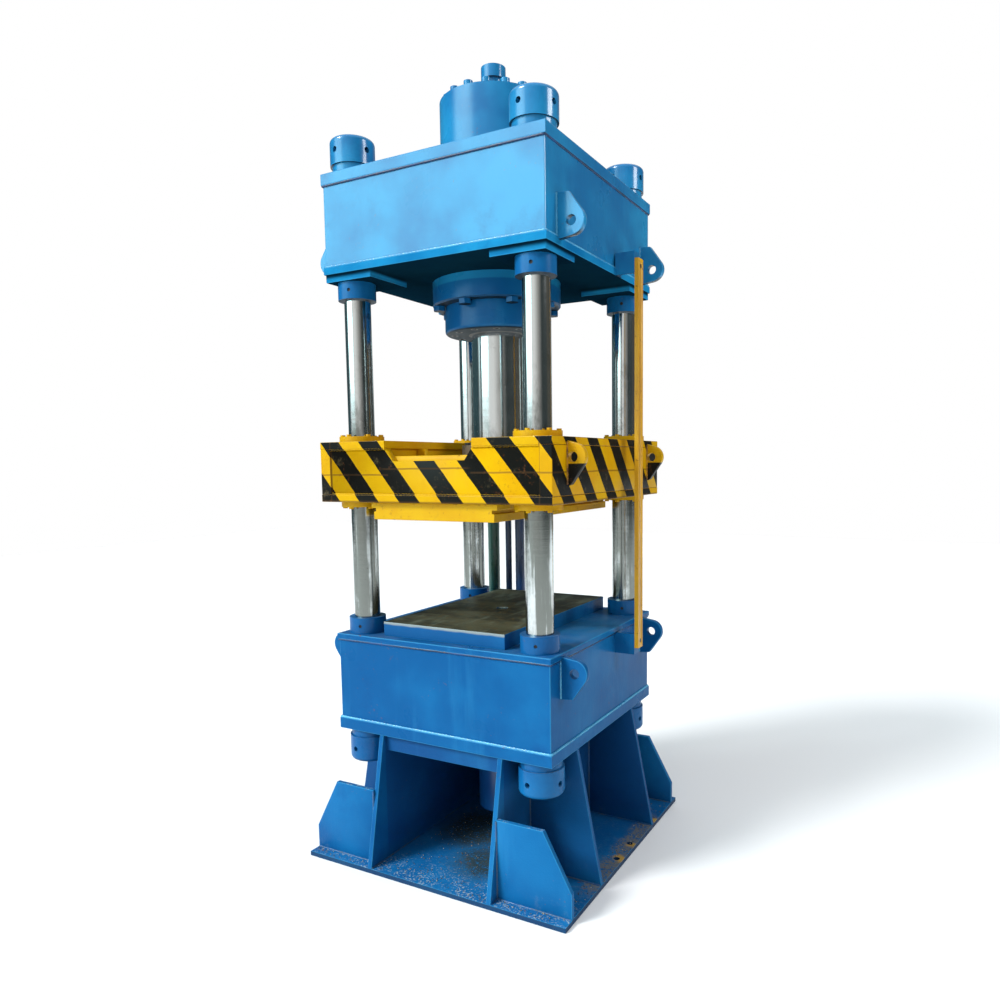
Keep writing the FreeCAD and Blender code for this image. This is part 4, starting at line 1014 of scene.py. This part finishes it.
def make_grit(floor_z, rib_x):
    """Swarf on the base plate: in the middle bay, on the front ledge and down the right edge."""
    size = sizes()
    low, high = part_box("base_plate")
    front, right = low.y + 0.012, high.x - 0.010
    bay_left, bay_right = -rib_x + 0.02, rib_x - 0.02
    z = floor_z + 0.0006
    # Each patch: name, left, front, right, back, share of the full density.
    patches = [
        ("bay", bay_left + 0.03, front + 0.10, bay_right, 0.12, 0.55),
        ("ledge_middle", bay_left, front, bay_right, front + 0.10, 1.1),
        ("ledge_left", -right, front, -rib_x - 0.03, front + 0.04, 1.3),
        ("ledge_right", rib_x + 0.03, front, right, front + 0.04, 1.3),
        ("edge_right", right - 0.07, -0.27, right, 0.27, 1.0),
        ("edge_back", right - 0.09, 0.30, right, 0.53, 0.6),
        ("edge_front", right - 0.06, -0.52, right, -0.30, 0.8),
    ]
    tree = grit_tree()
    for place, (label, x0, y0, x1, y1, share) in enumerate(patches):
        name = "grit_" + label
        base = bpy.data.meshes.new(name)
        base.from_pydata([(x0, y0, z), (x1, y0, z), (x1, y1, z), (x0, y1, z)], [], [(0, 1, 2, 3)])
        values = {
            "Density": size.grit_density * share, "Grain": size.grit_size,
            "Seed": size.grit_seed + place, "Material": grit_metal(),
        }
        grown(name, base, tree, "frame", values)


def make_columns():
    for side in ("front_left", "front_right", "back_left", "back_right"):
        coat(column_chrome(), "column_" + side)
    coat(blue_enamel(), "column_nuts", "column_washers", "column_collars")
    coat(blackened_steel(), "collar_screws")


def make_cylinder():
    coat(blue_enamel(), "cylinder_barrel", "gland", "cylinder_cover", "port_fitting")
    coat(blue_enamel(), "cover_bolts", "flange_bolts")
    coat(blackened_steel(), "gland_screws")
    coat(bearing_bronze(), "rod_bush")
    coat(seal_rubber(), "rod_seal", "rod_wiper", "cover_seal", "piston_seals")


def make_platen():
    size = sizes()
    stripes = hazard_enamel()
    for node in ("platen_top_plates", "platen_bottom_plate", "platen_box"):
        eased(node, stripes, size.rib_easing, shortest=0.15)
    eased("platen_lugs", platen_lug_enamel(), size.rib_easing, shortest=0.004)
    coat(yellow_enamel(), "guide_flanges", "guide_bolts")
    coat(bearing_bronze(), "guide_bushes")
    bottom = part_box("platen_bottom_plate")[1]
    lower = bottom.z + LIP_SINK
    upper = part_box("platen_top_plates")[0].z - LIP_SINK
    reach = bottom.x - BEAD_END
    wall = PLATEN_WALL + LIP_SINK
    runs = []
    for y in (-wall, wall):
        runs.append([(-reach, y, lower), (reach, y, lower)])
        for side in (-1, 1):
            runs.append([(side * SLOT_HALF, y, upper), (side * reach, y, upper)])
    beads("platen_seams", runs, stripes, "platen", PLATEN_BEAD)
    roots = lug_runs(bottom.x, "platen_lugs")
    beads("platen_lug_seams", roots, yellow_bead(), "platen", THIN_BEAD)


def make_ram():
    coat(ram_chrome(), "ram")
    coat(worn_steel(), "ram_flange")
    coat(blackened_steel(), "ram_flange_bolts")


def make_tool_plate():
    eased("adapter_plate", yellow_enamel(), sizes().rib_easing, shortest=0.15)
    coat(blackened_steel(), "adapter_bolts")


def make_ejector():
    coat(deep_blue_enamel(), "ejector_barrel", "ejector_bolts")
    coat(ram_chrome(), "ejector_rod")


def make_switch_rail():
    eased("switch_rail", rail_enamel(), sizes().rail_easing, shortest=0.2)
    coat(blue_enamel(), "rail_brackets")
    coat(blackened_steel(), "rail_screws")


def make_pipes():
    coat(green_pipe(), "suction_pipe")
    coat(navy_pipe(), "pilot_pipe", "return_pipe", "pipe_clamps")


# ---------------------------------------------------------------- stage
CAMERA_PLACE = Vector((1.7449, -2.8882, 1.6357))
CAMERA_YAW = math.radians(28.496)
CAMERA_PITCH = math.radians(-5.516)
CAMERA_ROLL = math.radians(-0.683)
CAMERA_LENS = 27.88
CAMERA_SHIFT = (-0.0365, 0.0384)
KEY_PLACE = Vector((-3.5, -5.0, 5.1))
KEY_STRENGTH = 3.0
KEY_SPREAD = math.radians(18.0)
FILL_PLACE = Vector((4.2, 0.6, 4.4))
FILL_TARGET = Vector((0.5, 0.0, 2.6))
FILL_SIZE = 1.6
FILL_POWER = 90.0
FLOOR_HALF = 14.0
FLOOR_TONES = [(0.86, 0.87, 0.88), (0.90, 0.90, 0.90)]
OVERHEAD_LIGHT = (0.90, 0.95, 1.0, 1.0)
WINDOW_LIGHT = (3.0, 4.6, 4.7, 1.0)
WHITE = (1.0, 1.0, 1.0, 1.0)
# Light of the walls by compass direction, 0 at the front and positive to the right.
WALL_LIGHT = [
    (-180.0, (0.30, 0.32, 0.32)),
    (-150.0, (0.05, 0.09, 0.10)),
    (-70.0, (0.04, 0.08, 0.09)),
    (-52.0, (0.80, 0.82, 0.82)),
    (10.0, (0.80, 0.80, 0.78)),
    (40.0, (0.35, 0.34, 0.32)),
    (68.0, (0.04, 0.05, 0.05)),
    (108.0, (0.04, 0.05, 0.05)),
    (122.0, (0.08, 0.075, 0.06)),
    (166.0, (0.06, 0.065, 0.06)),
    (180.0, (0.30, 0.32, 0.32)),
]


def make_camera():
    level = math.cos(CAMERA_PITCH)
    yaw_sine, yaw_cosine = math.sin(CAMERA_YAW), math.cos(CAMERA_YAW)
    forward = Vector((-yaw_sine * level, yaw_cosine * level, math.sin(CAMERA_PITCH)))
    right = Vector((yaw_cosine, yaw_sine, 0.0))
    up = right.cross(forward)
    across = math.cos(CAMERA_ROLL) * right + math.sin(CAMERA_ROLL) * up
    upward = -math.sin(CAMERA_ROLL) * right + math.cos(CAMERA_ROLL) * up
    data = bpy.data.cameras.new("view")
    data.sensor_width = 36.0
    data.lens = CAMERA_LENS
    data.shift_x, data.shift_y = CAMERA_SHIFT
    data.clip_start = 0.05
    camera = linked("view", data)
    turn = Matrix((across, upward, -forward)).transposed()
    camera.matrix_world = Matrix.Translation(CAMERA_PLACE) @ turn.to_4x4()
    bpy.context.scene.camera = camera


def aimed(name, data, place, target):
    """Puts a light at a place, pointing at a target."""
    light = linked(name, data)
    turn = (target - place).to_track_quat("-Z", "Y").to_matrix()
    light.matrix_world = Matrix.Translation(place) @ turn.to_4x4()


def make_fill_light():
    """Soft disc that brightens the crown's right side."""
    data = bpy.data.lights.new("crown_fill", "AREA")
    data.shape = "DISK"
    data.size = FILL_SIZE
    data.energy = FILL_POWER
    aimed("crown_fill", data, FILL_PLACE, FILL_TARGET)


def make_key_light():
    """Broad even light from far away, so that the whole floor is equally bright."""
    data = bpy.data.lights.new("key", "SUN")
    data.energy = KEY_STRENGTH
    data.angle = KEY_SPREAD
    aimed("key", data, KEY_PLACE, Vector((0.0, 0.0, 0.0)))


def make_world():
    """White to the eye; a ring of softboxes and dark walls to the enamel and chrome."""
    world = bpy.data.worlds.new("studio")
    bpy.context.scene.world = world
    world.use_nodes = True
    sky = Nodes(world.node_tree)
    world.node_tree.nodes.clear()
    x, y, z = sky.split(sky.node("ShaderNodeTexCoord", out="Generated"))
    azimuth = sky.maths("ARCTAN2", x, -y) / (2.0 * math.pi) + 0.5
    stops = [((degrees + 180.0) / 360.0, colour) for degrees, colour in WALL_LIGHT]
    walls = sky.node("ShaderNodeValToRGB", {"stops": stops}, {"Fac": azimuth})
    colour_mix = {"data_type": "RGBA"}
    overhead = {0: sky.band(z, 0.45, 0.85), 6: walls, 7: OVERHEAD_LIGHT}
    lit = sky.node("ShaderNodeMix", colour_mix, overhead, out=2)
    degrees = (azimuth - 0.5) * 360.0
    across = sky.band(degrees, -66.0, -50.0) * (1.0 - sky.band(degrees, -22.0, -8.0))
    window = across * sky.band(z, 0.06, 0.16) * (1.0 - sky.band(z, 0.50, 0.64))
    glow = {0: window, 6: lit, 7: WINDOW_LIGHT}
    lit = sky.node("ShaderNodeMix", colour_mix, glow, out=2)
    seen = sky.node("ShaderNodeLightPath", out="Is Camera Ray")
    lamp = sky.node("ShaderNodeBackground", values={"Color": lit, "Strength": 1.0})
    plain = sky.node("ShaderNodeBackground", values={"Color": WHITE, "Strength": 1.0})
    both = sky.node("ShaderNodeMixShader", values={0: seen, 1: lamp, 2: plain})
    sky.node("ShaderNodeOutputWorld", values={"Surface": both})


def make_floor():
    mesh = bpy.data.meshes.new("floor")
    mesh.from_pydata(ring_run(FLOOR_HALF, 0.0)[:4], [], [(0, 1, 2, 3)])
    paint = Finish("pale_floor")
    tone = paint.noise(0.6, 3.0)
    colour = paint.mix(tone, *FLOOR_TONES)
    mesh.materials.append(paint.surface(colour, 0.75 + 0.1 * tone, paint.bump(tone, 0.0005)))
    linked("floor", mesh)


def make_stage():
    make_floor()
    make_world()
    make_camera()
    make_key_light()
    make_fill_light()
    bpy.context.scene.view_settings.view_transform = "Standard"


# ---------------------------------------------------------------- operators and panel
class PRESS_OT_crown(bpy.types.Operator):
    """Make the crown's walls, plates, lugs and welds"""

    bl_idname = "press.crown"
    bl_label = "Crown"
    bl_options = {"REGISTER", "UNDO"}

    def execute(self, context):
        make_crown()
        return {"FINISHED"}


class PRESS_OT_bed(bpy.types.Operator):
    """Make the bed's walls, plates, lugs, welds and bolster"""

    bl_idname = "press.bed"
    bl_label = "Bed"
    bl_options = {"REGISTER", "UNDO"}

    def execute(self, context):
        make_bed()
        return {"FINISHED"}


class PRESS_OT_pedestal(bpy.types.Operator):
    """Make the base plate, ribs, gussets, welds and grit"""

    bl_idname = "press.pedestal"
    bl_label = "Pedestal"
    bl_options = {"REGISTER", "UNDO"}

    def execute(self, context):
        make_pedestal()
        return {"FINISHED"}


class PRESS_OT_columns(bpy.types.Operator):
    """Finish the columns, their nuts, washers and collars"""

    bl_idname = "press.columns"
    bl_label = "Columns"
    bl_options = {"REGISTER", "UNDO"}

    def execute(self, context):
        make_columns()
        return {"FINISHED"}


class PRESS_OT_cylinder(bpy.types.Operator):
    """Finish the main cylinder, its gland, cover and seals"""

    bl_idname = "press.cylinder"
    bl_label = "Main cylinder"
    bl_options = {"REGISTER", "UNDO"}

    def execute(self, context):
        make_cylinder()
        return {"FINISHED"}


class PRESS_OT_platen(bpy.types.Operator):
    """Make the striped platen, its lugs, welds and guides"""

    bl_idname = "press.platen"
    bl_label = "Platen"
    bl_options = {"REGISTER", "UNDO"}

    def execute(self, context):
        make_platen()
        return {"FINISHED"}


class PRESS_OT_ram(bpy.types.Operator):
    """Finish the ram and its split flange"""

    bl_idname = "press.ram"
    bl_label = "Ram"
    bl_options = {"REGISTER", "UNDO"}

    def execute(self, context):
        make_ram()
        return {"FINISHED"}


class PRESS_OT_tool_plate(bpy.types.Operator):
    """Make the tool plate under the platen"""

    bl_idname = "press.tool_plate"
    bl_label = "Tool plate"
    bl_options = {"REGISTER", "UNDO"}

    def execute(self, context):
        make_tool_plate()
        return {"FINISHED"}


class PRESS_OT_ejector(bpy.types.Operator):
    """Finish the ejector under the bed"""

    bl_idname = "press.ejector"
    bl_label = "Ejector"
    bl_options = {"REGISTER", "UNDO"}

    def execute(self, context):
        make_ejector()
        return {"FINISHED"}


class PRESS_OT_switch_rail(bpy.types.Operator):
    """Make the limit switch rail and its brackets"""

    bl_idname = "press.switch_rail"
    bl_label = "Switch rail"
    bl_options = {"REGISTER", "UNDO"}

    def execute(self, context):
        make_switch_rail()
        return {"FINISHED"}


class PRESS_OT_pipes(bpy.types.Operator):
    """Finish the pipes behind the press"""

    bl_idname = "press.pipes"
    bl_label = "Pipes"
    bl_options = {"REGISTER", "UNDO"}

    def execute(self, context):
        make_pipes()
        return {"FINISHED"}


class PRESS_OT_stage(bpy.types.Operator):
    """Make the floor, lights, surroundings and camera"""

    bl_idname = "press.stage"
    bl_label = "Stage"
    bl_options = {"REGISTER", "UNDO"}

    def execute(self, context):
        make_stage()
        return {"FINISHED"}


OPERATORS = [
    PRESS_OT_crown, PRESS_OT_bed, PRESS_OT_pedestal, PRESS_OT_columns, PRESS_OT_cylinder, PRESS_OT_platen,
    PRESS_OT_ram, PRESS_OT_tool_plate, PRESS_OT_ejector, PRESS_OT_switch_rail, PRESS_OT_pipes, PRESS_OT_stage,
]


class PRESS_PT_panel(bpy.types.Panel):
    """Lists the press's sizes, colours and operators"""

    bl_idname = "PRESS_PT_panel"
    bl_label = "Hydraulic press"
    bl_space_type = "VIEW_3D"
    bl_region_type = "UI"
    bl_category = "Press"

    def draw(self, context):
        for group in (context.scene.press_sizes, context.scene.press_colours):
            box = self.layout.box()
            for name in group.__annotations__:
                box.prop(group, name)
        for operator in OPERATORS:
            self.layout.operator(operator.bl_idname)


CLASSES = [PressSizes, PressColours, *OPERATORS, PRESS_PT_panel]


def register():
    for each in CLASSES:
        bpy.utils.register_class(each)
    bpy.types.Scene.press_sizes = PointerProperty(type=PressSizes)
    bpy.types.Scene.press_colours = PointerProperty(type=PressColours)


def unregister():
    del bpy.types.Scene.press_colours
    del bpy.types.Scene.press_sizes
    for each in reversed(CLASSES):
        bpy.utils.unregister_class(each)


def main():
    register()
    for operator in OPERATORS:
        group, name = operator.bl_idname.split(".")
        getattr(getattr(bpy.ops, group), name)()


if __name__ == "__main__":
    main()
